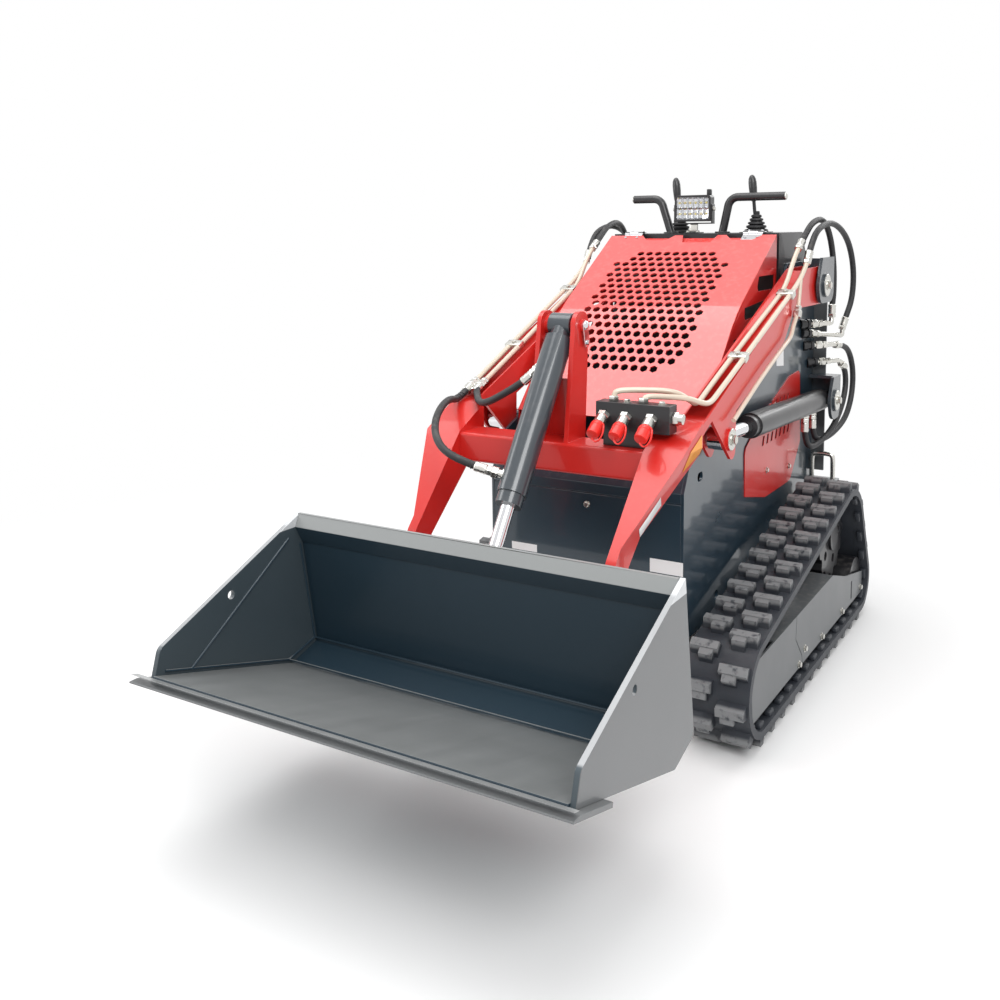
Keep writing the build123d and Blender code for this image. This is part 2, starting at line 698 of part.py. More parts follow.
for side, sign in SIDES:
    with BuildPart() as track:
        belt_solid(LUG_H, sign * TRACK_IN, sign * TRACK_OUT)
        belt_solid(LUG_H + BELT_T, sign * (TRACK_IN - 1), sign * (TRACK_OUT + 1), Mode.SUBTRACT)
        for row_sign, shift in ((1, 0.0), (-1, 0.5)):
            stations = belt_stations(shift)
            for (x0, x1), drop, root, top in LUG_PARTS:
                near = sign * TRACK_MID + row_sign * (LUG_ROW_GAP + x0)
                with BuildSketch(Plane.YZ.offset(near)) as lugs:
                    for y, z, angle in stations:
                        with Locations(Location((y, z), angle)):
                            Polygon(
                                (-LUG_ROOT, root[0]),
                                (LUG_H - drop, top[0]),
                                (LUG_H - drop, top[1]),
                                (-LUG_ROOT, root[1]),
                                align=None,
                            )
                extrude(to_extrude=lugs.sketch, amount=row_sign * (x1 - x0))
    save(track, f"track_{side}")

    wheel_in = sign * (TRACK_MID - WHEEL_HALF)
    wheel_out = sign * (TRACK_MID + WHEEL_HALF)
    frame_face = sign * FRAME_OUT
    axle_in = frame_face + sign * FACE_GAP
    with BuildPart() as running_gear:
        for y, z, r in (FRONT_IDLER, REAR_IDLER):
            cross_pin((y, z), r - INSIDE, wheel_in, wheel_out)
            cross_pin((y, z), AXLE_R, axle_in, wheel_in + sign)
        for y in ROLLER_YS:
            cross_pin((y, INSIDE + ROLLER_R), ROLLER_R, axle_in, wheel_out)
        y, z, r = SPROCKET
        tip = r - INSIDE
        step = 2 * math.pi / SPROCKET_TEETH
        # Tooth outline: share of a step, and radius
        tooth = ((-0.38, tip - TOOTH_H), (-0.14, tip), (0.14, tip), (0.38, tip - TOOTH_H))
        ring = [(y + d * math.cos((k + a) * step), z + d * math.sin((k + a) * step))
                for k in range(SPROCKET_TEETH) for a, d in tooth]
        panel(ring, sign * (TRACK_MID - SPROCKET_HALF), sign * (TRACK_MID + SPROCKET_HALF))
        with BuildSketch(Plane.YZ.offset(sign * (TRACK_MID - SPROCKET_HALF))) as holes:
            with Locations((y, z)):
                with PolarLocations(SPROCKET_HOLE_RING, SPROCKET_HOLES):
                    Circle(SPROCKET_HOLE_R)
        extrude(to_extrude=holes.sketch, amount=sign * 2 * SPROCKET_HALF, mode=Mode.SUBTRACT)
        cross_pin((y, z), 2 * AXLE_R, axle_in, sign * (TRACK_MID + WHEEL_HALF / 2))
    save(running_gear, f"running_gear_{side}")

    guard_in = sign * (TRACK_MID + GUARD_X)
    guard_out = guard_in + sign * GUARD_T
    with BuildPart() as track_guard:
        rounded_panel(GUARD_ROWS, guard_in, guard_out)
        cut = guard_in - sign, guard_out + sign
        split_line = list(GUARD_SPLIT)
        panel(split_line + offset_line(split_line, SPLIT_WIDTH)[::-1], *cut, Mode.SUBTRACT)
        box(*GUARD_SLOT, *cut, Mode.SUBTRACT)
        panel(GUARD_TOP, axle_in, guard_in + sign)
    save(track_guard, f"track_guard_{side}")

    with BuildPart() as track_frame:
        rounded_panel(FRAME_ROWS, sign * FRAME_IN, frame_face)
        length, height = FRAME_MOUNT
        for y in FRAME_MOUNT_YS:
            mount = (y - length / 2, y + length / 2), (BODY_FLOOR + 10, BODY_FLOOR + 10 + height)
            box(*mount, sign * (BODY_HALF + FACE_GAP), sign * (FRAME_IN + 1))
    save(track_frame, f"track_frame_{side}")

# Arms: a beam of two plates and a web over and under the lift cylinder, and a leg that narrows to its foot
for side, sign in SIDES:
    with BuildPart() as arm:
        for near in (ARM_IN, ARM_OUT - ARM_PLATE_T):
            rounded_panel(BEAM_ROWS, sign * near, sign * (near + ARM_PLATE_T))
        for web, thickness in ((BEAM_TOP, -ARM_PLATE_T), (BEAM_UNDER, ARM_PLATE_T)):
            panel(list(web) + offset_line(web, thickness)[::-1], sign * (ARM_IN + 1), sign * (ARM_OUT - 1))
        cross_pin(ARM_PIVOT, BOSS_R, sign * ARM_IN, sign * ARM_OUT)
        rounded_panel(LEG_ROWS, sign * LEG_IN, sign * ARM_OUT)
        high, low = LEG_TAPER
        wide = ARM_OUT + BOSS_R
        taper = ((ARM_OUT, high), (LEG_FOOT_OUT, low), (LEG_FOOT_OUT, 0), (wide, 0), (wide, high))
        with BuildSketch(Plane.XZ.offset(-LEG_REAR - BOSS_R)) as wedge:
            with BuildLine():
                Polyline(*[(sign * x, z) for x, z in taper], close=True)
            make_face()
        extrude(to_extrude=wedge.sketch, amount=-BUCKET_PIN[0], mode=Mode.SUBTRACT)
        cross_pin(KNEE_PIN, EYE_R, sign * (ARM_OUT - 1), sign * (ARM_OUT + DISC_T))
        cross_pin(ARM_PIVOT, PIN_R + PIN_CLEAR, sign * (ARM_IN - 1), sign * (ARM_OUT + 1), Mode.SUBTRACT)
        cross_pin(BUCKET_PIN, PIN_R + PIN_CLEAR, sign * (LEG_IN - 1), sign * (LEG_FOOT_OUT + 1), Mode.SUBTRACT)
    save(arm, f"arm_{side}")

with BuildPart() as cross_member:
    half = LEG_IN - FACE_GAP
    low = CROSS_TOP - CROSS_HEIGHT
    tube = ((CROSS_FRONT, low), (CROSS_REAR, low), (CROSS_REAR, CROSS_TOP), (CROSS_FRONT, CROSS_TOP))
    rounded_panel([(*corner, CROSS_CORNER) for corner in tube], -half, half)
    ear = (
        (CROSS_REAR + CROSS_CORNER / 2, CROSS_TOP - CROSS_CORNER, 0),
        (TILT_PIN_TOP[0] + EAR_R + 2, TILT_PIN_TOP[1] + EAR_R + 2, EAR_R),
        (TILT_PIN_TOP[0] - EAR_R - 2, TILT_PIN_TOP[1] + EAR_R + 2, EAR_R),
        (CROSS_FRONT + CROSS_CORNER, CROSS_TOP - CROSS_CORNER, 0),
    )
    for _, sign in SIDES:
        rounded_panel(ear, sign * EAR_IN, sign * (EAR_IN + EAR_T))
        cross_pin(TILT_PIN_TOP, EAR_BOSS_R, sign * EAR_BOSS_IN, sign * (EAR_IN + 1))
    gusset = (CROSS_REAR - GUSSET_T / 2, CROSS_REAR + GUSSET_T / 2), (CROSS_TOP - CROSS_CORNER, GUSSET_TOP)
    box(*gusset, -EAR_IN - 1, EAR_IN + 1)
    head = EAR_IN + EAR_T + DISC_T
    cross_pin(TILT_PIN_TOP, PIN_R, -head, head)
save(cross_member, "cross_member")

with BuildPart() as coupler_block:
    (x0, x1), (y0, y1), (z0, z1) = BLOCK_SPAN
    box((y0, y1), (z0, z1), x0, x1)
    foot_x, foot_y = BLOCK_FOOT
    box(foot_y, (CROSS_TOP + FACE_GAP, z0 + 1), *foot_x)
save(coupler_block, "coupler_block")


def beam_top(y):
    """Height of the beam's top edge above a place along it."""
    (y0, z0), (y1, z1) = BEAM_TOP
    return z0 + (y - y0) * (z1 - z0) / (y1 - y0)


# Steel tubes along the tops of both beams, held in clamp blocks
with BuildPart() as arm_tubes:
    slope = Vector(0, BEAM_TOP[1][0] - BEAM_TOP[0][0], BEAM_TOP[1][1] - BEAM_TOP[0][1]).normalized()
    tube_len = (TUBE_YS[1] - TUBE_YS[0]) / slope.Y
    start_z = beam_top(TUBE_YS[0]) + TUBE_RISE
    for sign, xs in TUBE_XS:
        for x in xs:
            round_bar(Vector(sign * x, TUBE_YS[0], start_z), slope, (0, tube_len), TUBE_R)
        for y in CLAMP_YS:
            low = [(y - CLAMP_HALF, beam_top(y - CLAMP_HALF)), (y + CLAMP_HALF, beam_top(y + CLAMP_HALF))]
            clamp = offset_line(low, FACE_GAP) + offset_line(low, TUBE_RISE + TUBE_R / 2)[::-1]
            panel(clamp, sign * (xs[0] - TUBE_R - CLAMP_EDGE), sign * (xs[1] + TUBE_R + CLAMP_EDGE))
save(arm_tubes, "arm_tubes")

# Cylinders: each barrel is bored for its rod, as far as the rod goes in
LIFT_GAP = math.dist(LIFT_PIN, KNEE_PIN)
LIFT_AXIS = Vector(0, KNEE_PIN[0] - LIFT_PIN[0], KNEE_PIN[1] - LIFT_PIN[1]).normalized()
for side, sign in SIDES:
    base = Vector(sign * CYL_X, *LIFT_PIN)
    tip = Vector(sign * CYL_X, *KNEE_PIN)
    eye = sign * (CYL_X - EYE_WIDTH / 2), sign * (CYL_X + EYE_WIDTH / 2)
    with BuildPart() as lift_barrel:
        cross_pin(LIFT_PIN, EYE_R, *eye)
        round_bar(base, LIFT_AXIS, (LIFT_BARREL_START, LIFT_GLAND[0]), LIFT_BARREL_R)
        round_bar(base, LIFT_AXIS, LIFT_GLAND, LIFT_GLAND_R)
        bore_start = LIFT_GAP - LIFT_ROD_LEN - LIFT_RETRACT
        round_bar(base, LIFT_AXIS, (bore_start, LIFT_GLAND[1] + 1), LIFT_ROD_R + ROD_CLEAR, Mode.SUBTRACT)
        cross_pin(LIFT_PIN, PIN_R + PIN_CLEAR, eye[0] - sign, eye[1] + sign, Mode.SUBTRACT)
    save(lift_barrel, f"lift_barrel_{side}")
    with BuildPart() as lift_rod:
        cross_pin(KNEE_PIN, EYE_R, *eye)
        round_bar(tip, -LIFT_AXIS, (0, LIFT_ROD_LEN), LIFT_ROD_R)
    save(lift_rod, f"lift_rod_{side}")

TILT_GAP = math.dist(TILT_PIN_TOP, TILT_PIN_LOW)
tilt_axis = Vector(0, TILT_PIN_LOW[0] - TILT_PIN_TOP[0], TILT_PIN_LOW[1] - TILT_PIN_TOP[1]).normalized()
tilt_top = Vector(0, *TILT_PIN_TOP)
with BuildPart() as tilt_barrel:
    cross_pin(TILT_PIN_TOP, EYE_R, -TILT_EYE_WIDTH / 2, TILT_EYE_WIDTH / 2)
    round_bar(tilt_top, tilt_axis, (PIN_R, TILT_BARREL_START + 1), TILT_NECK_R)
    round_bar(tilt_top, tilt_axis, (TILT_BARREL_START, TILT_GLAND[0]), TILT_BARREL_R)
    round_bar(tilt_top, tilt_axis, TILT_GLAND, TILT_GLAND_R)
    bore_start = TILT_GAP - TILT_ROD_LEN - TILT_RETRACT
    round_bar(tilt_top, tilt_axis, (bore_start, TILT_GLAND[1] + 1), TILT_ROD_R + ROD_CLEAR, Mode.SUBTRACT)
    cross_pin(TILT_PIN_TOP, PIN_R + PIN_CLEAR, -TILT_EYE_WIDTH, TILT_EYE_WIDTH, Mode.SUBTRACT)
save(tilt_barrel, "tilt_barrel")
with BuildPart() as tilt_rod:
    cross_pin(TILT_PIN_LOW, EYE_R, -20.0, 20.0)
    round_bar(Vector(0, *TILT_PIN_LOW), -tilt_axis, (0, TILT_ROD_LEN), TILT_ROD_R)
save(tilt_rod, "tilt_rod")

# Bucket: a folded sheet between two end plates, on a bevelled cutting edge
floor_len = math.dist(EDGE_TIP, FLOOR_BEND)
floor_dir = Vector((FLOOR_BEND[0] - EDGE_TIP[0]) / floor_len, (FLOOR_BEND[1] - EDGE_TIP[1]) / floor_len)
floor_up = Vector(-floor_dir.Y, floor_dir.X)


def floor_point(back, up):
    """Side-view point a distance back from the edge's tip and up from the floor's line."""
    spot = floor_dir * back + floor_up * up
    return (EDGE_TIP[0] + spot.X, EDGE_TIP[1] + spot.Y)


def bucket_rows(setback):
    """Rows of the bucket's inner line, from its front to its top, with the front set back."""
    return (
        (*floor_point(setback, 0), 0),
        (*FLOOR_BEND, BUCKET_BEND),
        (*BACK_BEND, BUCKET_BEND),
        (*MOUTH_TOP, 0),
    )


SHELL_HALF = BUCKET_HALF - BUCKET_SIDE_T - FACE_GAP
with BuildPart() as bucket_shell:
    bent_sheet(bucket_rows(FLOOR_SETBACK), -BUCKET_SHEET_T, -SHELL_HALF, SHELL_HALF)
    panel(LIP, -SHELL_HALF, SHELL_HALF)
save(bucket_shell, "bucket_shell")

for side, sign in SIDES:
    under = offset_rows(bucket_rows(PLATE_SETBACK), -BUCKET_SHEET_T)
    with BuildPart() as bucket_side:
        rows = [*under, (*SIDE_BEND, 25)]
        inner_face = sign * (BUCKET_HALF - BUCKET_SIDE_T)
        rounded_panel(rows, inner_face, sign * BUCKET_HALF)
        hole = inner_face - sign, sign * (BUCKET_HALF + 1)
        cross_pin(PLATE_HOLE, PLATE_HOLE_R, *hole, Mode.SUBTRACT)
    save(bucket_side, f"bucket_side_{side}")

with BuildPart() as cutting_edge:
    top = -BUCKET_SHEET_T - FACE_GAP
    bevel_back, bevel_down = EDGE_BEVEL
    bar = (
        floor_point(0, top - EDGE_T),
        floor_point(0, top - bevel_down),
        floor_point(bevel_back, top),
        floor_point(EDGE_DEPTH, top),
        floor_point(EDGE_DEPTH, top - EDGE_T),
    )
    panel(bar, -BUCKET_HALF - EDGE_OVERHANG, BUCKET_HALF + EDGE_OVERHANG)
save(cutting_edge, "cutting_edge")

back_len = math.dist(BACK_BEND, MOUTH_TOP)
back_dir = Vector((MOUTH_TOP[0] - BACK_BEND[0]) / back_len, (MOUTH_TOP[1] - BACK_BEND[1]) / back_len)
back_out = Vector(back_dir.Y, -back_dir.X)


def back_point(up, out):
    """Side-view point a distance up the bucket's back and out from its inner line."""
    spot = back_dir * up + back_out * out
    return (BACK_BEND[0] + spot.X, BACK_BEND[1] + spot.Y)


with BuildPart() as quick_attach:
    near = BUCKET_SHEET_T + FACE_GAP
    far = near + ATTACH_T
    bottom, top = ATTACH_SPAN
    plate = (back_point(bottom, near), back_point(top, near), back_point(top, far), back_point(bottom, far))
    panel(plate, -ATTACH_HALF, ATTACH_HALF)
    flange = (back_point(top, near), back_point(top, near + 40), back_point(top - 8, near + 40), back_point(top - 8, near))
    panel(flange, -ATTACH_HALF, ATTACH_HALF)
    pin_y, pin_z = BUCKET_PIN
    ear = (
        (*back_point(bottom + 10, near + 1), 0),
        (*back_point(bottom + 170, near + 1), 0),
        (pin_y - ATTACH_EAR_R, pin_z + ATTACH_EAR_R + 50, 0),
        (pin_y + ATTACH_EAR_R, pin_z + ATTACH_EAR_R, ATTACH_EAR_R - 2),
        (pin_y + ATTACH_EAR_R, pin_z - ATTACH_EAR_R, ATTACH_EAR_R - 2),
    )
    low_y, low_z = TILT_PIN_LOW
    clevis = (
        (*back_point(top - 120, near + 1), 0),
        (*back_point(top - 12, near + 1), 0),
        (low_y + EYE_R, low_z + EYE_R + 10, 34),
        (low_y + EYE_R + 16, low_z - EYE_R, 28),
    )
    for _, sign in SIDES:
        for inner, outer in ATTACH_EARS:
            rounded_panel(ear, sign * inner, sign * outer)
        cross_pin(BUCKET_PIN, PIN_R, sign * (ATTACH_EARS[0][1] - 1), sign * (ATTACH_EARS[1][1] + DISC_T))
        rounded_panel(clevis, sign * CLEVIS[0], sign * CLEVIS[1])
        cross_pin(TILT_PIN_LOW, CLEVIS_HEAD_R, sign * (CLEVIS[1] - 1), sign * (CLEVIS[1] + DISC_T))
save(quick_attach, "quick_attach")

# Operator's platform
with BuildPart() as platform:
    seat = BODY_FLOOR - FACE_GAP
    deck = seat - PLATFORM_STEP
    box((PLATFORM_FRONT, PLATFORM_REAR), (deck - PLATFORM_T, deck), -PLATFORM_HALF, PLATFORM_HALF)
    skirt = (PLATFORM_REAR - PLATFORM_T, PLATFORM_REAR), (deck - PLATFORM_FLANGE, deck)
    box(*skirt, -PLATFORM_HALF, PLATFORM_HALF)
    for _, sign in SIDES:
        cheek = (PLATFORM_FRONT, PLATFORM_REAR), (deck - PLATFORM_FLANGE, deck)
        box(*cheek, sign * (PLATFORM_HALF - PLATFORM_T), sign * PLATFORM_HALF)
    for x in BEARER_XS:
        bearer = (
            (BEARER_FRONT, seat),
            (PLATFORM_FRONT, seat),
            (PLATFORM_FRONT, deck),
            (PLATFORM_REAR - 1, deck),
            (PLATFORM_REAR - 1, deck - PLATFORM_FLANGE),
            (BEARER_FRONT, seat - BEARER_HEIGHT),
        )
        panel(bearer, x - BEARER_WIDTH / 2, x + BEARER_WIDTH / 2)
save(platform, "stand_platform")
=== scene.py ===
"""Dresses the stand-on tracked loader for its studio picture.

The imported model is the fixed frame: +X is the machine's left, -Y its front, and Z=0 the ground. The
pieces' own measures are written in millimetres; everything that Blender is given is in metres.
"""

from __future__ import annotations

import json
import logging
import math
from collections.abc import Iterable, Sequence
from dataclasses import dataclass, field
from enum import Enum

import bmesh
import bpy
from mathutils import Matrix, Vector
from mathutils.kdtree import KDTree

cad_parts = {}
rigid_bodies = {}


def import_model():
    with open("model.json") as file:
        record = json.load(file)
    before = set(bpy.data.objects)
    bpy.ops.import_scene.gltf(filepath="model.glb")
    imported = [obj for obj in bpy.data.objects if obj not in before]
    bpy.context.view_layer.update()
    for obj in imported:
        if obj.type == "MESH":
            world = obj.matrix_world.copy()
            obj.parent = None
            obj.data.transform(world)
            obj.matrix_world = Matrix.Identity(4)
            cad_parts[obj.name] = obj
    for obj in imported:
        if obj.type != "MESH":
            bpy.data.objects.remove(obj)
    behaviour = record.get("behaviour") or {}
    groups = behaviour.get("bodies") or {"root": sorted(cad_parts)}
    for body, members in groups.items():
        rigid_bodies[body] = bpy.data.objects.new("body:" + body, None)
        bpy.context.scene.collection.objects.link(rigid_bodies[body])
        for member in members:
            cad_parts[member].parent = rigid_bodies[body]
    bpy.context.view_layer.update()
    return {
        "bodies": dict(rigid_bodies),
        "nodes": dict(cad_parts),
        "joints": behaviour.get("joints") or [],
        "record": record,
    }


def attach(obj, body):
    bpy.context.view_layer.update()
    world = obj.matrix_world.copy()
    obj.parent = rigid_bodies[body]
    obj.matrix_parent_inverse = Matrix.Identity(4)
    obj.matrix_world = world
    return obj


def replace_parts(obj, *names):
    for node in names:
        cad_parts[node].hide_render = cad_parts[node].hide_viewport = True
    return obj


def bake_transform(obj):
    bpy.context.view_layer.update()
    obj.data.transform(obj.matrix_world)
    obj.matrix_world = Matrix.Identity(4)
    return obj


log = logging.getLogger("loader")
Colour = tuple[float, float, float]
Spot = tuple[float, float, float]
Flat = tuple[float, float]
# Rows of a round form: how far along its axis, and how far from it
Profile = tuple[Flat, ...]
MM = 0.001
SIDES = (("left", 1), ("right", -1))
MID_GREY = (0.5, 0.5, 0.5, 1.0)
COAT_ROUGHNESS = 0.06
# The tracks' attribute that says how near the ground's touch a point is
CONTACT = "contact"


class Axis(Enum):
    """World axes by name."""

    X = Vector((1, 0, 0))
    Y = Vector((0, 1, 0))
    Z = Vector((0, 0, 1))


class Socket(Enum):
    """Kinds of node group socket that the effects here use."""

    NUMBER = "NodeSocketFloat"
    COLOUR = "NodeSocketColor"
    VECTOR = "NodeSocketVector"


@dataclass(frozen=True)
class Camera:
    """The photograph's camera, as a pinhole."""

    place: tuple[float, float, float] = (1.2716, -2.5926, 1.3188)
    yaw: float = 0.5583
    pitch: float = 0.1228
    roll: float = -0.0139
    focal_in_widths: float = 1.06764
    shift: tuple[float, float] = (0.00675, -0.1426)
    sensor_mm: float = 36.0

    def build(self) -> bpy.types.Object:
        """Makes the camera and sets it as the scene's.

        Returns:
            The camera object.
        """
        data = bpy.data.cameras.new("camera")
        data.sensor_width = self.sensor_mm
        data.lens = self.sensor_mm * self.focal_in_widths
        data.shift_x, data.shift_y = self.shift
        data.clip_end = 100.0
        camera = bpy.data.objects.new("camera", data)
        turn = (
            Matrix.Rotation(self.yaw, 4, "Z")
            @ Matrix.Rotation(math.pi / 2 - self.pitch, 4, "X")
            @ Matrix.Rotation(self.roll, 4, "Z")
        )
        camera.matrix_world = Matrix.Translation(self.place) @ turn
        bpy.context.scene.collection.objects.link(camera)
        bpy.context.scene.camera = camera
        return camera


@dataclass(frozen=True)
class Softbox:
    """One large lamp that faces a point on the machine."""

    name: str
    place: tuple[float, float, float]
    size: float
    power: float

    def build(self, target: Vector) -> None:
        """Makes the lamp.

        Args:
            target: the point that it faces.
        """
        data = bpy.data.lights.new(self.name, "AREA")
        data.shape = "SQUARE"
        data.size = self.size
        data.energy = self.power
        lamp = bpy.data.objects.new(self.name, data)
        lamp.location = self.place
        lamp.rotation_euler = (Vector(self.place) - target).to_track_quat("Z", "Y").to_euler()
        bpy.context.scene.collection.objects.link(lamp)


@dataclass
class Studio:
    """A pale floor, soft lamps and a white surround."""

    floor_half: float = 60.0
    floor_colour: Colour = (0.90, 0.90, 0.90)
    floor_roughness: float = 0.9
    floor_specular: float = 0.1
    fade_from: float = 1.5
    fade_to: float = 3.2
    fill: float = 0.5
    target: tuple[float, float, float] = (0.0, 0.0, 0.6)
    lamps: tuple[Softbox, ...] = (
        Softbox("key_lamp", (3.2, -3.4, 4.2), 2.6, 165.0),
        Softbox("top_lamp", (-0.6, -0.4, 5.0), 4.0, 150.0),
        Softbox("side_lamp", (-4.6, -2.2, 2.6), 2.6, 80.0),
        Softbox("rear_lamp", (1.2, 5.0, 3.4), 3.0, 80.0),
    )

    def build(self) -> None:
        """Makes the floor, the lamps and the surround."""
        self._floor()
        self._surround()
        for lamp in self.lamps:
            lamp.build(Vector(self.target))

    def _floor(self) -> None:
        """A flat floor at ground level."""
        shape = bmesh.new()
        bmesh.ops.create_grid(shape, x_segments=1, y_segments=1, size=self.floor_half)
        mesh = bpy.data.meshes.new("floor")
        shape.to_mesh(mesh)
        shape.free()
        floor = bpy.data.objects.new("floor", mesh)
        material = bpy.data.materials.new("floor_finish")
        material.use_nodes = True
        principled = material.node_tree.nodes["Principled BSDF"]
        principled.inputs["Base Color"].default_value = (*self.floor_colour, 1.0)
        principled.inputs["Roughness"].default_value = self.floor_roughness
        principled.inputs["Specular IOR Level"].default_value = self.floor_specular
        self._fade(material.node_tree, principled)
        mesh.materials.append(material)
        bpy.context.scene.collection.objects.link(floor)

    def _fade(self, tree: bpy.types.NodeTree, principled: bpy.types.Node) -> None:
        """Fades the floor into the white surround, away from the machine.

        Args:
            tree: the floor material's nodes.
            principled: the floor's own shader.
        """
        away = tree.nodes.new("ShaderNodeVectorMath")
        away.operation = "LENGTH"
        tree.links.new(tree.nodes.new("ShaderNodeTexCoord").outputs["Object"], away.inputs[0])
        spread = tree.nodes.new("ShaderNodeMapRange")
        spread.interpolation_type = "SMOOTHSTEP"
        spread.inputs["From Min"].default_value = self.fade_from
        spread.inputs["From Max"].default_value = self.fade_to
        tree.links.new(away.outputs["Value"], spread.inputs["Value"])
        rays = tree.nodes.new("ShaderNodeLightPath").outputs
        seen = combined(tree, "MAXIMUM", rays["Is Camera Ray"], rays["Is Glossy Ray"])
        share = combined(tree, "MULTIPLY", spread.outputs[0], seen)
        white = tree.nodes.new("ShaderNodeEmission")
        mix = tree.nodes.new("ShaderNodeMixShader")
        for number, source in enumerate((share, principled.outputs[0], white.outputs[0])):
            tree.links.new(source, mix.inputs[number])
        tree.links.new(mix.outputs[0], tree.nodes["Material Output"].inputs["Surface"])

    def _surround(self) -> None:
        """White to the eye and in reflections, and a softer fill light for everything else."""
        world = bpy.data.worlds.new("surround")
        bpy.context.scene.world = world
        world.use_nodes = True
        tree = world.node_tree
        background = tree.nodes["Background"]
        background.inputs["Color"].default_value = (1.0, 1.0, 1.0, 1.0)
        rays = tree.nodes.new("ShaderNodeLightPath").outputs
        mirrored = combined(tree, "MAXIMUM", rays["Is Glossy Ray"], rays["Is Transmission Ray"])
        seen = combined(tree, "MAXIMUM", rays["Is Camera Ray"], mirrored)
        level = tree.nodes.new("ShaderNodeMapRange")
        level.inputs["To Min"].default_value = self.fill
        level.inputs["To Max"].default_value = 1.0
        tree.links.new(seen, level.inputs["Value"])
        tree.links.new(level.outputs[0], background.inputs["Strength"])


def combined(
    tree: bpy.types.NodeTree, operation: str, first: bpy.types.NodeSocket, second: bpy.types.NodeSocket
) -> bpy.types.NodeSocket:
    """Adds a Math node over two sockets and gives its answer."""
    made = tree.nodes.new("ShaderNodeMath")
    made.operation = operation
    tree.links.new(first, made.inputs[0])
    tree.links.new(second, made.inputs[1])
    return made.outputs[0]


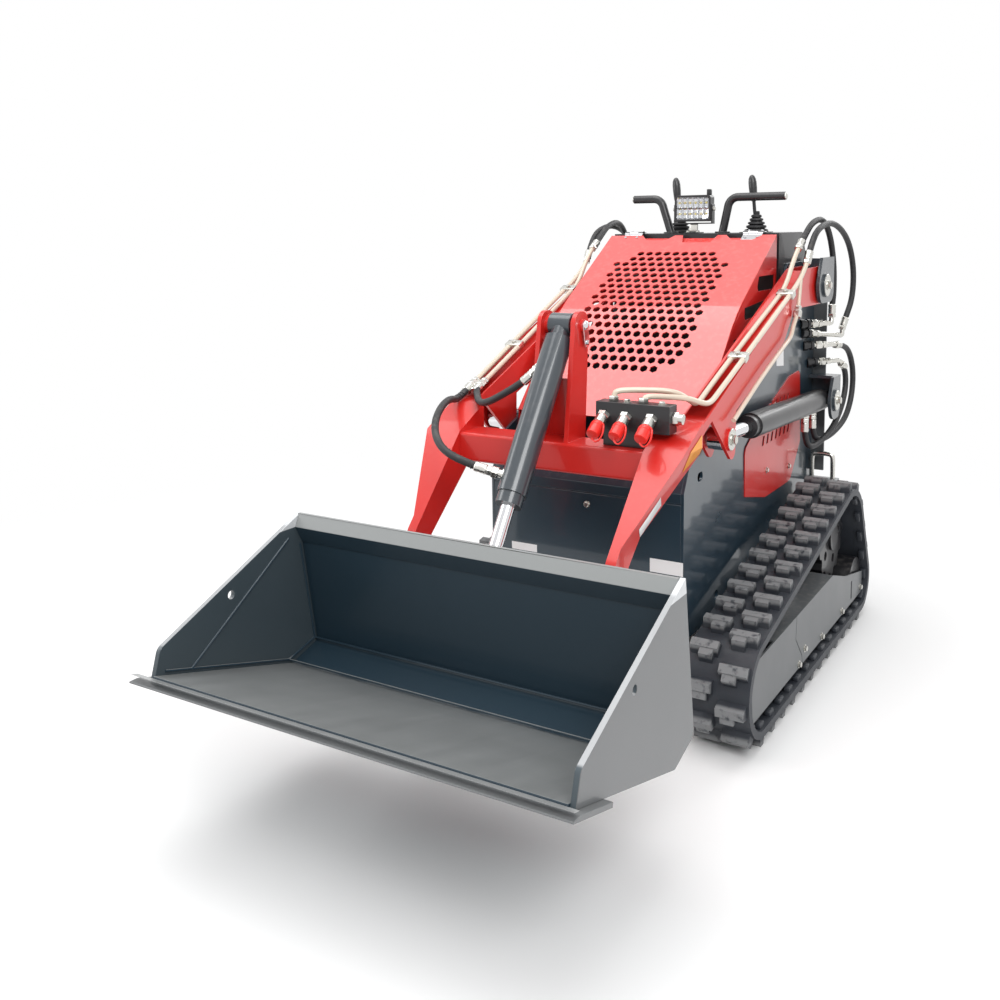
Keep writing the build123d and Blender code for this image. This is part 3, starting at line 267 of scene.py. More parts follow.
class GroupBuilder:
    """A shader node group under construction, with short ways to add nodes and sockets."""

    def __init__(self, name: str) -> None:
        """Starts an empty group.

        Args:
            name: the group's name.
        """
        self.tree = bpy.data.node_groups.new(name, "ShaderNodeTree")
        self.start = self.tree.nodes.new("NodeGroupInput")
        self.end = self.tree.nodes.new("NodeGroupOutput")

    def takes(self, name: str, kind: Socket, value: float | tuple | None = None) -> bpy.types.NodeSocket:
        """Adds an input.

        Args:
            name: the socket's name.
            kind: its kind.
            value: its usual value.

        Returns:
            The socket inside the group.
        """
        socket = self.tree.interface.new_socket(name, in_out="INPUT", socket_type=kind.value)
        if value is not None:
            socket.default_value = value
        return self.start.outputs[name]

    def gives(self, name: str, kind: Socket, source: bpy.types.NodeSocket) -> None:
        """Adds an output and feeds it.

        Args:
            name: the socket's name.
            kind: its kind.
            source: what feeds it.
        """
        self.tree.interface.new_socket(name, in_out="OUTPUT", socket_type=kind.value)
        self.tree.links.new(source, self.end.inputs[name])

    def node(self, kind: str, **links: object) -> bpy.types.Node:
        """Adds a node, setting or linking its inputs by name.

        Args:
            kind: the node's type.
            links: input name, with underscores for spaces, to a value or a socket.

        Returns:
            The node.
        """
        made = self.tree.nodes.new(kind)
        for name, value in links.items():
            self.feed(made, name.replace("_", " "), value)
        return made

    def feed(self, node: bpy.types.Node, name: str | int, value: object) -> None:
        """Sets or links one input.

        Args:
            node: the node.
            name: the input's name or number.
            value: a value, or the socket that feeds it.
        """
        if isinstance(value, bpy.types.NodeSocket):
            self.tree.links.new(value, node.inputs[name])
        else:
            node.inputs[name].default_value = value

    def maths(
        self, operation: str, first: object, second: object, clamp: bool = False
    ) -> bpy.types.NodeSocket:
        """Adds a Math node.

        Args:
            operation: its operation.
            first: the first value or socket.
            second: the second value or socket.
            clamp: keep the answer between 0 and 1.

        Returns:
            The answer.
        """
        made = self.tree.nodes.new("ShaderNodeMath")
        made.operation = operation
        made.use_clamp = clamp
        self.feed(made, 0, first)
        self.feed(made, 1, second)
        return made.outputs[0]

    def ramp(self, value: bpy.types.NodeSocket, low: float, high: float) -> bpy.types.NodeSocket:
        """Spreads a stretch of a value over 0 to 1, smoothly.

        Args:
            value: the value.
            low: what becomes 0.
            high: what becomes 1.

        Returns:
            The spread value.
        """
        made = self.node("ShaderNodeMapRange", Value=value, From_Min=low, From_Max=high)
        made.interpolation_type = "SMOOTHSTEP"
        return made.outputs[0]

    def noise(self, where: bpy.types.NodeSocket, scale: object, detail: float = 4.0) -> bpy.types.NodeSocket:
        """Adds a noise pattern.

        Args:
            where: coordinates.
            scale: its scale.
            detail: its detail.

        Returns:
            The pattern, about 0 to 1.
        """
        return self.node("ShaderNodeTexNoise", Vector=where, Scale=scale, Detail=detail).outputs["Fac"]

    def mixed(self, share: object, first: object, second: object) -> bpy.types.NodeSocket:
        """Mixes two colours.

        Args:
            share: how much of the second.
            first: the first colour.
            second: the second colour.

        Returns:
            The mixed colour.
        """
        made = self.tree.nodes.new("ShaderNodeMix")
        made.data_type = "RGBA"
        for number, value in ((0, share), (6, first), (7, second)):
            self.feed(made, number, value)
        return made.outputs[2]

    def place(self) -> bpy.types.NodeSocket:
        """Coordinates of the object itself, in metres."""
        return self.tree.nodes.new("ShaderNodeTexCoord").outputs["Object"]

    def facing_up(self) -> bpy.types.NodeSocket:
        """How much the surface faces up, from -1 to 1."""
        geometry = self.tree.nodes.new("ShaderNodeNewGeometry")
        return self.node("ShaderNodeSeparateXYZ", Vector=geometry.outputs["Normal"]).outputs["Z"]

    def times(self, value: bpy.types.NodeSocket, factor: object) -> bpy.types.NodeSocket:
        """A value, multiplied."""
        return self.maths("MULTIPLY", value, factor)

    def toned(self, colour: bpy.types.NodeSocket, value: object) -> bpy.types.NodeSocket:
        """A colour, made lighter or darker."""
        return self.node("ShaderNodeHueSaturation", Color=colour, Value=value).outputs[0]

    def drift(self, where: bpy.types.NodeSocket) -> bpy.types.NodeSocket:
        """The slow change of a paint's lightness over the machine, about 1."""
        return self.maths("ADD", self.times(self.noise(where, 2.2, 2.0), 0.16), 0.92)

    def relief(self, strength: bpy.types.NodeSocket, depth: float, height: bpy.types.NodeSocket) -> None:
        """Adds the group's Normal output.

        Args:
            strength: how strong the relief is.
            depth: how deep it is, in metres.
            height: its pattern.
        """
        bump = self.node("ShaderNodeBump", Strength=strength, Distance=depth, Height=height)
        self.gives("Normal", Socket.VECTOR, bump.outputs[0])


def paint_effect() -> bpy.types.NodeTree:
    """Sprayed paint: slow colour drift, faint dust on what faces up and a fine orange peel.

    Returns:
        The node group.
    """
    group = GroupBuilder("sprayed_paint")
    colour = group.takes("Colour", Socket.COLOUR, MID_GREY)
    dust_colour = group.takes("Dust Colour", Socket.COLOUR, (0.45, 0.42, 0.38, 1.0))
    dust_amount = group.takes("Dust", Socket.NUMBER, 0.1)
    rough = group.takes("Roughness", Socket.NUMBER, 0.3)
    peel = group.takes("Peel", Socket.NUMBER, 0.1)
    where = group.place()
    body = group.toned(colour, group.drift(where))
    speckle = group.ramp(group.noise(where, 60.0, 8.0), 0.46, 0.72)
    dust = group.times(group.times(group.ramp(group.facing_up(), 0.1, 1.0), speckle), dust_amount)
    group.gives("Colour", Socket.COLOUR, group.mixed(dust, body, dust_colour))
    smeared = group.maths("ADD", rough, group.times(group.noise(where, 9.0, 5.0), 0.12))
    dulled = group.maths("SUBTRACT", group.times(dust, 0.5), 0.06)
    group.gives("Roughness", Socket.NUMBER, group.maths("ADD", smeared, dulled, clamp=True))
    group.relief(peel, 0.0003, group.noise(where, 420.0, 2.0))
    return group.tree


def bucket_effect() -> bpy.types.NodeTree:
    """Bucket paint: a dark inside, plain grey ends, a floor worn by digging, painted highlights on top edges.

    Returns:
        The node group.
    """
    group = GroupBuilder("bucket_paint")
    inside = group.takes("Colour", Socket.COLOUR, MID_GREY)
    outside = group.takes("Second", Socket.COLOUR, MID_GREY)
    worn = group.takes("Third", Socket.COLOUR, MID_GREY)
    rough = group.takes("Roughness", Socket.NUMBER, 0.3)
    peel = group.takes("Peel", Socket.NUMBER, 0.1)
    end_face = group.takes("End Face", Socket.NUMBER, 0.5085)
    where = group.place()
    x, y, z = group.node("ShaderNodeSeparateXYZ", Vector=where).outputs
    past_ends = group.maths("GREATER_THAN", group.maths("ABSOLUTE", x, 0.0), end_face)
    painted = group.mixed(past_ends, inside, outside)
    streak_map = group.node("ShaderNodeMapping", Vector=where, Scale=(46.0, 3.2, 3.2))
    streaks = group.noise(streak_map.outputs[0], 1.0, 6.0)
    cloud = group.noise(where, 7.0, 5.0)
    # The worn floor ends raggedly at the foot of the bucket's back; on the end plates this mask is a painted
    # highlight on their top edges
    ahead = group.times(group.maths("ADD", y, group.times(cloud, 0.03)), -1.0)
    floor = group.times(group.ramp(ahead, 0.694, 0.712), group.ramp(group.facing_up(), 0.75, 0.93))
    shade = group.maths("ADD", group.times(streaks, 0.30), group.times(cloud, 0.34))
    tone = group.toned(worn, group.maths("ADD", shade, 0.68))
    # A painted highlight along the bucket's upper lip: the worn colour, made much lighter
    lip_highlight = group.ramp(z, 0.5905, 0.592)
    with_lip_highlight = group.mixed(lip_highlight, group.toned(painted, group.drift(where)), group.toned(worn, 1.7))
    group.gives("Colour", Socket.COLOUR, group.mixed(floor, with_lip_highlight, tone))
    dulled = group.maths("ADD", group.times(floor, 0.16), group.times(streaks, 0.12))
    group.gives("Roughness", Socket.NUMBER, group.maths("ADD", rough, dulled, clamp=True))
    fine = group.times(group.noise(where, 420.0, 2.0), 0.5)
    group.relief(peel, 0.0004, group.maths("ADD", fine, group.times(streaks, floor)))
    return group.tree


def tread_effect() -> bpy.types.NodeTree:
    """Track rubber: a little dusty, and rubbed grey where it meets the ground.

    Returns:
        The node group.
    """
    group = GroupBuilder("tread_rubber")
    colour = group.takes("Colour", Socket.COLOUR, MID_GREY)
    rubbed = group.takes("Second", Socket.COLOUR, MID_GREY)
    rough = group.takes("Roughness", Socket.NUMBER, 0.6)
    peel = group.takes("Peel", Socket.NUMBER, 0.4)
    where = group.place()
    contact = group.tree.nodes.new("ShaderNodeAttribute")
    contact.attribute_name = CONTACT
    worn = group.ramp(contact.outputs["Fac"], 0.35, 0.8)
    cover = group.times(worn, group.ramp(group.noise(where, 55.0, 8.0), 0.26, 0.5))
    dust = group.times(group.ramp(group.noise(where, 12.0, 6.0), 0.45, 0.75), 0.10)
    share = group.maths("MAXIMUM", cover, dust)
    group.gives("Colour", Socket.COLOUR, group.mixed(share, colour, rubbed))
    group.gives("Roughness", Socket.NUMBER, group.maths("ADD", rough, group.times(share, 0.2), clamp=True))
    grain = group.maths("ADD", group.noise(where, 300.0, 4.0), group.noise(where, 40.0, 3.0))
    group.relief(peel, 0.0008, grain)
    return group.tree


@dataclass(frozen=True)
class Look:
    """A finish: its colours, its record slot and how its surface behaves."""

    name: str
    slot: str
    colour: Colour
    roughness: float = 0.3
    coat: float = 0.6
    dust: float = 0.1
    peel: float = 0.12
    metallic: float = 0.0
    clear: float = 0.0
    effect: str = "sprayed_paint"
    second: Colour = (0.5, 0.5, 0.5)
    third: Colour = (0.5, 0.5, 0.5)

    def build(self, effects: dict[str, bpy.types.NodeTree]) -> bpy.types.Material:
        """Makes the material.

        Args:
            effects: the node groups by name.

        Returns:
            The material.
        """
        material = bpy.data.materials.new(self.name)
        material.use_nodes = True
        tree = material.node_tree
        principled = tree.nodes["Principled BSDF"]
        group = tree.nodes.new("ShaderNodeGroup")
        group.node_tree = effects[self.effect]
        values = {
            "Colour": (*self.colour, 1.0),
            "Second": (*self.second, 1.0),
            "Third": (*self.third, 1.0),
            "Dust": self.dust,
            "Roughness": self.roughness,
            "Peel": self.peel,
        }
        for name, value in values.items():
            if name in group.inputs:
                group.inputs[name].default_value = value
        for given, taken in (("Colour", "Base Color"), ("Roughness", "Roughness"), ("Normal", "Normal")):
            tree.links.new(group.outputs[given], principled.inputs[taken])
        principled.inputs["Metallic"].default_value = self.metallic
        principled.inputs["Coat Weight"].default_value = self.coat
        principled.inputs["Coat Roughness"].default_value = COAT_ROUGHNESS
        principled.inputs["Transmission Weight"].default_value = self.clear
        return material


class Finish(Enum):
    """Every finish on the machine."""

    RED = Look("gloss_red", "red_paint", (0.62, 0.016, 0.011), 0.34, 0.4, 0.02)
    # The hood's red is lifted towards pink: a painted sheen of reflected white over its own red
    HOOD_RED_SHEEN = Look("hood_red_sheen", "red_paint", (0.72, 0.055, 0.050), 0.34, 1.0, 0.10)
    DARK_RED = Look("deep_red", "dark_red_paint", (0.50, 0.012, 0.010), 0.32, 0.6, 0.08)
    NAVY = Look("dark_blue", "navy_paint", (0.018, 0.036, 0.053), 0.30, 0.6, 0.10)
    GREY = Look("mid_grey", "grey_paint", (0.105, 0.112, 0.118), 0.46, 0.2, 0.2)
    BLACK = Look("satin_black", "black_paint", (0.012, 0.012, 0.014), 0.4, 0.25, 0.10)
    SLATE = Look("slate_paint", "black_paint", (0.034, 0.044, 0.054), 0.32, 0.6, 0.06)
    CHROME = Look("hard_chrome", "chrome_rod", (0.72, 0.72, 0.74), 0.08, 0.0, 0.0, 0.02, 1.0)
    PLATED = Look("bright_plate", "plated_steel", (0.66, 0.65, 0.61), 0.26, 0.0, 0.02, 0.06, 1.0)
    CREAM = Look("cream_tube", "plated_steel", (0.66, 0.56, 0.45), 0.30, 0.5, 0.04)
    RUBBER = Look("moulded_rubber", "rubber", (0.016, 0.016, 0.018), 0.55, 0.0, 0.12, 0.3)
    RED_CAP = Look("red_dust_cap", "red_paint", (0.80, 0.028, 0.020), 0.38, 0.2, 0.0, 0.1)
    WHITE_FILM = Look("white_film", "plated_steel", (0.84, 0.84, 0.84), 0.42, 0.2, 0.03, 0.03)
    AMBER_FILM = Look("amber_film", "plated_steel", (0.90, 0.33, 0.015), 0.40, 0.2, 0.02, 0.03)
    GLASS = Look("lamp_glass", "lamp_body", (0.95, 0.96, 0.97), 0.03, 0.0, 0.0, 0.0, 0.0, 1.0)
    LED = Look("led_phosphor", "lamp_body", (0.86, 0.70, 0.20), 0.45, 0.3, 0.0, 0.02)
    TRACK = Look(
        "track_rubber", "track_rubber", (0.022, 0.026, 0.034), 0.55, 0.05, 0.0, 0.35,
        effect="tread_rubber", second=(0.20, 0.205, 0.21),
    )
    BUCKET = Look(
        "bucket_paint", "navy_paint", (0.016, 0.035, 0.052), 0.30, 0.35, 0.0, 0.25,
        effect="bucket_paint", second=(0.115, 0.122, 0.128), third=(0.165, 0.172, 0.172),
    )
    # The third colour here is a painted highlight: the pale grey of the end plates' upward-facing top edges
    BUCKET_END = Look(
        "bucket_end_paint", "grey_paint", (0.050, 0.068, 0.080), 0.34, 0.35, 0.0, 0.2,
        effect="bucket_paint", second=(0.118, 0.125, 0.130), third=(0.36, 0.37, 0.38),
    )
    EDGE = Look("worn_edge", "grey_paint", (0.150, 0.156, 0.160), 0.42, 0.1, 0.0, 0.3)
    BARE = Look("ground_steel", "grey_paint", (0.46, 0.47, 0.47), 0.34, 0.0, 0.05, 0.25, 0.6)
    IRON = Look("cast_iron", "engine_iron", (0.030, 0.030, 0.032), 0.6, 0.0, 0.3, 0.4)
    LAMP = Look("lamp_black", "lamp_body", (0.018, 0.018, 0.020), 0.35, 0.1, 0.1)


# Nodes whose finish isn't the plain one of their slot
OWN_FINISH = {
    "tilt_barrel": Finish.SLATE,
    "bucket_shell": Finish.BUCKET,
    "bucket_side_left": Finish.BUCKET_END,
    "bucket_side_right": Finish.BUCKET_END,
    "cutting_edge": Finish.EDGE,
    "console": Finish.BLACK,
    "work_lamp": Finish.LAMP,
    "rear_bracket_left": Finish.SLATE,
    "rear_bracket_right": Finish.SLATE,
}


@dataclass
class Palette:
    """Builds each finish's material once."""

    made: dict[Finish, bpy.types.Material] = field(default_factory=dict)

    def build(self) -> None:
        """Makes every material."""
        effects = {tree.name: tree for tree in (paint_effect(), bucket_effect(), tread_effect())}
        for finish in Finish:
            self.made[finish] = finish.value.build(effects)

    def by_slot(self, slot: str) -> Finish:
        """The plain finish for one of the record's material slots."""
        return next(finish for finish in Finish if finish.value.slot == slot)


def mm(x: float, y: float, z: float) -> Vector:
    """A place given in millimetres, in the machine's frame."""
    return Vector((x, y, z)) * MM


def facing(base: Vector, axis: Vector) -> Matrix:
    """The transform that stands an upright form on a base, along an axis."""
    return Matrix.Translation(base) @ Vector((0, 0, 1)).rotation_difference(axis).to_matrix().to_4x4()


def rectangle(low: Flat, high: Flat) -> tuple[Flat, Flat, Flat, Flat]:
    """The four corners of an upright rectangle, in order."""
    return (low[0], low[1]), (high[0], low[1]), (high[0], high[1]), (low[0], high[1])


def line_spots(points: Sequence[Vector], steps: int) -> list[Vector]:
    """Places along a NURBS line that its points steer, from end to end."""
    mesh = smooth_line(points, steps=steps)
    spots = [vertex.co.copy() for vertex in mesh.vertices]
    bpy.data.meshes.remove(mesh)
    return spots


def smooth_line(
    points: Sequence[Vector], radius: float = 0.0, sides: int = 4, steps: int = 8
) -> bpy.types.Mesh:
    """A NURBS line that its points steer, as a mesh: a tube with a radius, or bare points without.

    Args:
        points: the points that steer the line.
        radius: the tube's radius.
        sides: the tube's bevel resolution.
        steps: the line's resolution.

    Returns:
        The mesh.
    """
    data = bpy.data.curves.new("line", "CURVE")
    data.dimensions = "3D"
    data.bevel_depth = radius
    data.bevel_resolution = sides
    data.use_fill_caps = radius > 0
    line = data.splines.new("NURBS")
    line.points.add(len(points) - 1)
    for spot, point in zip(line.points, points):
        spot.co = (*point, 1.0)
    line.order_u = 3
    line.use_endpoint_u = True
    line.resolution_u = steps
    holder = bpy.data.objects.new("line", data)
    mesh = bpy.data.meshes.new_from_object(holder)
    bpy.data.objects.remove(holder)
    bpy.data.curves.remove(data)
    return mesh


class Shape:
    """A piece's mesh under construction, in metres, where the piece will be."""

    sharp = math.radians(38.0)
    # Rows of a nut: its height there and its half width, as shares of both
    nut_rows = ((0.0, 0.9), (0.12, 1.0), (0.85, 1.0), (1.0, 0.86))
    # A bolt's washer: its thickness and radius, then its head's height, as shares of its width
    washer_thick = 0.1
    washer_radius = 0.66
    head_height = 0.36

    def __init__(self) -> None:
        """Starts with nothing."""
        self.mesh = bmesh.new()

    def add(self, part: bmesh.types.BMesh, place: Matrix | None = None) -> None:
        """Adds a finished closed form to the piece.

        Args:
            part: the form, which is used up.
            place: where it goes.
        """
        if place is not None:
            bmesh.ops.transform(part, matrix=place, verts=part.verts)
        bmesh.ops.recalc_face_normals(part, faces=part.faces)
        self.keep(part)

    def keep(self, part: bmesh.types.BMesh) -> None:
        """Adds a form, closed or open, just as it is.

        Args:
            part: the form, which is used up.
        """
        carrier = bpy.data.meshes.new("carrier")
        part.to_mesh(carrier)
        part.free()
        self.mesh.from_mesh(carrier)
        bpy.data.meshes.remove(carrier)

    def block(self, low: Vector, high: Vector, edge: float = 0.001, place: Matrix | None = None) -> None:
        """Adds a block with rounded edges.

        Args:
            low: its lowest corner.
            high: its highest corner.
            edge: the radius of its edges.
            place: a further turn or move.
        """
        part = bmesh.new()
        bmesh.ops.create_cube(part, size=1.0)
        bmesh.ops.scale(part, vec=high - low, verts=part.verts)
        bmesh.ops.translate(part, vec=(low + high) / 2, verts=part.verts)
        bmesh.ops.bevel(
            part, geom=part.edges[:], offset=edge, segments=2, profile=0.5, affect="EDGES", material=-1
        )
        self.add(part, place)

    def turned(
        self, base: Vector, axis: Vector, profile: Sequence[Flat], steps: int = 24, ring: bool = False
    ) -> None:
        """Adds a round form by spinning a profile.

        Args:
            base: the middle of its foot.
            axis: the way that it stands.
            profile: millimetres along the axis and from it, from foot to top.
            steps: faces round.
            ring: the profile is a closed loop away from the axis.
        """
        part = bmesh.new()
        rows = list(profile)
        if not ring:
            rows = [(rows[0][0], 0.0), *rows, (rows[-1][0], 0.0)]
        rim = [part.verts.new((radius * MM, 0.0, along * MM)) for along, radius in rows]
        pairs = list(zip(rim, rim[1:])) + ([(rim[-1], rim[0])] if ring else [])
        for pair in pairs:
            part.edges.new(pair)
        bmesh.ops.spin(
            part, geom=part.verts[:] + part.edges[:], cent=(0, 0, 0), axis=(0, 0, 1), angle=math.tau,
            steps=steps, use_merge=True,
        )
        bmesh.ops.remove_doubles(part, verts=part.verts, dist=1e-6)
        self.add(part, facing(base, axis.normalized()))

    def plate(self, outline: Iterable[Vector], thick: Vector, edge: float = 0.0006) -> None:
        """Adds a flat plate with slightly rounded edges.

        Args:
            outline: its corners in order, on one face.
            thick: the move from that face to the other.
            edge: the radius of its edges.
        """
        part = bmesh.new()
        face = part.faces.new([part.verts.new(corner) for corner in outline])
        raised = bmesh.ops.extrude_face_region(part, geom=[face])["geom"]
        moved = [item for item in raised if isinstance(item, bmesh.types.BMVert)]
        bmesh.ops.translate(part, vec=thick, verts=moved)
        bmesh.ops.holes_fill(part, edges=part.edges[:], sides=0)
        bmesh.ops.bevel(
            part, geom=part.edges[:], offset=edge, segments=1, profile=0.5, affect="EDGES", material=-1
        )
        self.add(part)

    def tube(self, points: Sequence[Vector], radius: float, sides: int = 4, steps: int = 8) -> None:
        """Adds a round tube along a smooth line.

        Args:
            points: the points that steer the line.
            radius: the tube's radius, in millimetres.
            sides: how finely it is rounded.
            steps: how finely its line is drawn.
        """
        mesh = smooth_line(points, radius * MM, sides, steps)
        self.mesh.from_mesh(mesh)
        bpy.data.meshes.remove(mesh)

    def wrap(self, points: Sequence[Vector], radius: float, strip: float, turns: float) -> None:
        """Adds a strip wound round a smooth line.

        Args:
            points: the points that steer the line.
            radius: the strip's distance from the line, in millimetres.
            strip: the strip's own radius, in millimetres.
            turns: how often it goes round.
        """
        spots = line_spots(points, 24)
        side = (spots[1] - spots[0]).orthogonal().normalized()
        winding = []
        for i, spot in enumerate(spots):
            ahead = (spots[min(i + 1, len(spots) - 1)] - spots[max(i - 1, 0)]).normalized()
            side = (side - ahead * side.dot(ahead)).normalized()
            angle = math.tau * turns * i / (len(spots) - 1)
            out = side * math.cos(angle) + ahead.cross(side) * math.sin(angle)
            winding.append(spot + out * radius * MM)
        self.tube(winding, strip, 1, 2)

    def nut(self, base: Vector, axis: Vector, across: float, height: float) -> None:
        """Adds a six-sided nut with chamfered corners.

        Args:
            base: the middle of its foot.
            axis: the way that it stands.
            across: its width over the corners, in millimetres.
            height: its height, in millimetres.
        """
        rows = [(height * up, across / 2 * out) for up, out in self.nut_rows]
        self.turned(base, axis, rows, 6)

    def bolt(self, base: Vector, axis: Vector, across: float = 15.0) -> None:
        """Adds a bolt's head on its washer.

        Args:
            base: the middle of the washer's foot.
            axis: the way that it points.
            across: the head's width over its corners, in millimetres.
        """
        axis = axis.normalized()
        washer = across * self.washer_thick
        radius = across * self.washer_radius
        self.turned(base - axis * MM, axis, ((0, radius), (washer + 1, radius)), 20)
        self.nut(base + axis * washer * MM, axis, across, across * self.head_height)

    def piece(
        self, name: str, finish: Finish, palette: Palette, body: str | None, even: bool = False
    ) -> bpy.types.Object:
        """Finishes the piece.

        Args:
            name: its name.
            finish: its finish.
            palette: the materials.
            body: the body that it rides on, or none to leave it on no body.
            even: keep large flats flat beside rounded edges.

        Returns:
            The object.
        """
        mesh = bpy.data.meshes.new(name)
        self.mesh.to_mesh(mesh)
        self.mesh.free()
        mesh.materials.clear()
        mesh.materials.append(palette.made[finish])
        mesh.shade_smooth()
        mesh.set_sharp_from_angle(angle=self.sharp)
        piece = bpy.data.objects.new(name, mesh)
        bpy.context.scene.collection.objects.link(piece)
        if even:
            shading = piece.modifiers.new("even_shading", "WEIGHTED_NORMAL")
            shading.keep_sharp = True
        if body is not None:
            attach(piece, body)
        log.info("made %s in %s, %d faces", name, finish.value.name, len(mesh.polygons))
        return piece


@dataclass
class TrackPath:
    """The belt's line round its three wheels, as (y, z, radius over the lugs) in millimetres."""

    wheels: tuple[Spot, ...] = ((-60, 155, 155), (810, 312, 185), (970, 125, 125))
    # How deep under the lugs' tips a point still counts as touched, and where that has faded out
    touched: Flat = (4.5, 7.5)
    tip_step: float = 6.0

    def spots(self, inset: float, spacing: float) -> list[Spot]:
        """Evenly spaced (y, z, outward angle) on the line an inset inside the lugs' tips.

        Args:
            inset: the inset, in millimetres.
            spacing: about the step between spots, in millimetres.

        Returns:
            The spots, in order.
        """
        circles = [(y, z, r - inset) for y, z, r in self.wheels]
        normals = []
        for (y0, z0, r0), (y1, z1, r1) in zip(circles, circles[1:] + circles[:1]):
            gap = math.hypot(y1 - y0, z1 - z0)
            normals.append(math.atan2(z1 - z0, y1 - y0) + math.pi / 2 + math.asin((r1 - r0) / gap))
        line = []
        for i, (y, z, r) in enumerate(circles):
            start, end = normals[i - 1], normals[i]
            wrap = (start - end) % math.tau
            count = max(2, round(wrap * r))
            for k in range(count):
                angle = start - wrap * k / count
                line.append((y + r * math.cos(angle), z + r * math.sin(angle), angle))
            y1, z1, r1 = circles[(i + 1) % len(circles)]
            first = y + r * math.cos(end), z + r * math.sin(end)
            last = y1 + r1 * math.cos(end), z1 + r1 * math.sin(end)
            count = round(math.dist(first, last))
            dy, dz = last[0] - first[0], last[1] - first[1]
            line += [(first[0] + dy * k / count, first[1] + dz * k / count, end) for k in range(count)]
        wanted = round(len(line) / spacing)
        return [line[round(k * len(line) / wanted) % len(line)] for k in range(wanted)]

    def mark_contact(self, mesh: bpy.types.Mesh) -> None:
        """Writes how near each point of a track is to its lugs' tips, from 0 to 1.

        Args:
            mesh: the track's mesh.
        """
        spots = self.spots(0.0, self.tip_step)
        tree = KDTree(len(spots))
        for i, (y, z, _) in enumerate(spots):
            tree.insert((0.0, y * MM, z * MM), i)
        tree.balance()
        layer = mesh.attributes.new(CONTACT, "FLOAT", "POINT")
        full, none = self.touched
        for vertex, value in zip(mesh.vertices, layer.data):
            place, i, _ = tree.find((0.0, vertex.co.y, vertex.co.z))
            angle = spots[i][2]
            away = vertex.co - place
            depth = -(away.y * math.cos(angle) + away.z * math.sin(angle)) / MM
            value.value = max(0.0, min(1.0, 1.0 - (depth - full) / (none - full)))


@dataclass
class Skin:
    """Gives the carried-over nodes their finish and rounds their sharp edges a little."""

    palette: Palette
    frame: dict
    track: TrackPath
    edge_radius: float = 0.0012
    sharp: float = math.radians(28.0)
    flat: float = math.radians(0.5)
    weld: Flat = (2e-5, 2e-6)
    plain: tuple[str, ...] = ("engine_block", "belly_plate")
    hidden: tuple[str, ...] = ("joysticks", "hood", "arm_tubes")

    def dress(self) -> None:
        """Finishes every node but the hidden ones, which other pieces stand for."""
        record = self.frame["record"]
        slots = {part["node"]: part["material_slot"] for part in record["subparts"]}
        bodies = {node: body for body, nodes in record["behaviour"]["bodies"].items() for node in nodes}
        for name, node in self.frame["nodes"].items():
            finish = OWN_FINISH.get(name) or self.palette.by_slot(slots[name])
            if name in self.hidden:
                continue
            if name in self.plain:
                node.data.materials.clear()
                node.data.materials.append(self.palette.made[finish])
                continue
            self._soften(name, node, finish, bodies[name])

    def _soften(self, name: str, node: bpy.types.Object, finish: Finish, body: str) -> None:
        """Makes a copy of a node with rounded edges, which stands for it.

        Args:
            name: the node's name.
            node: its object.
            finish: its finish.
            body: the body that it rides on.
        """
        shape = Shape()
        mesh = shape.mesh
        mesh.from_mesh(node.data)
        bmesh.ops.remove_doubles(mesh, verts=mesh.verts, dist=self.weld[0])
        bmesh.ops.dissolve_limit(mesh, angle_limit=self.flat, verts=mesh.verts, edges=mesh.edges)
        corners = [edge for edge in mesh.edges if edge.is_manifold and edge.calc_face_angle(0.0) > self.sharp]
        bmesh.ops.bevel(
            mesh, geom=corners, offset=self.edge_radius, segments=2, profile=0.5, affect="EDGES",
            clamp_overlap=True, material=-1,
        )
        bmesh.ops.remove_doubles(mesh, verts=mesh.verts, dist=self.weld[1])
        piece = shape.piece(f"{name}_skin", finish, self.palette, body, even=True)
        if name in ("track_left", "track_right"):
            self.track.mark_contact(piece.data)
        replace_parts(piece, name)


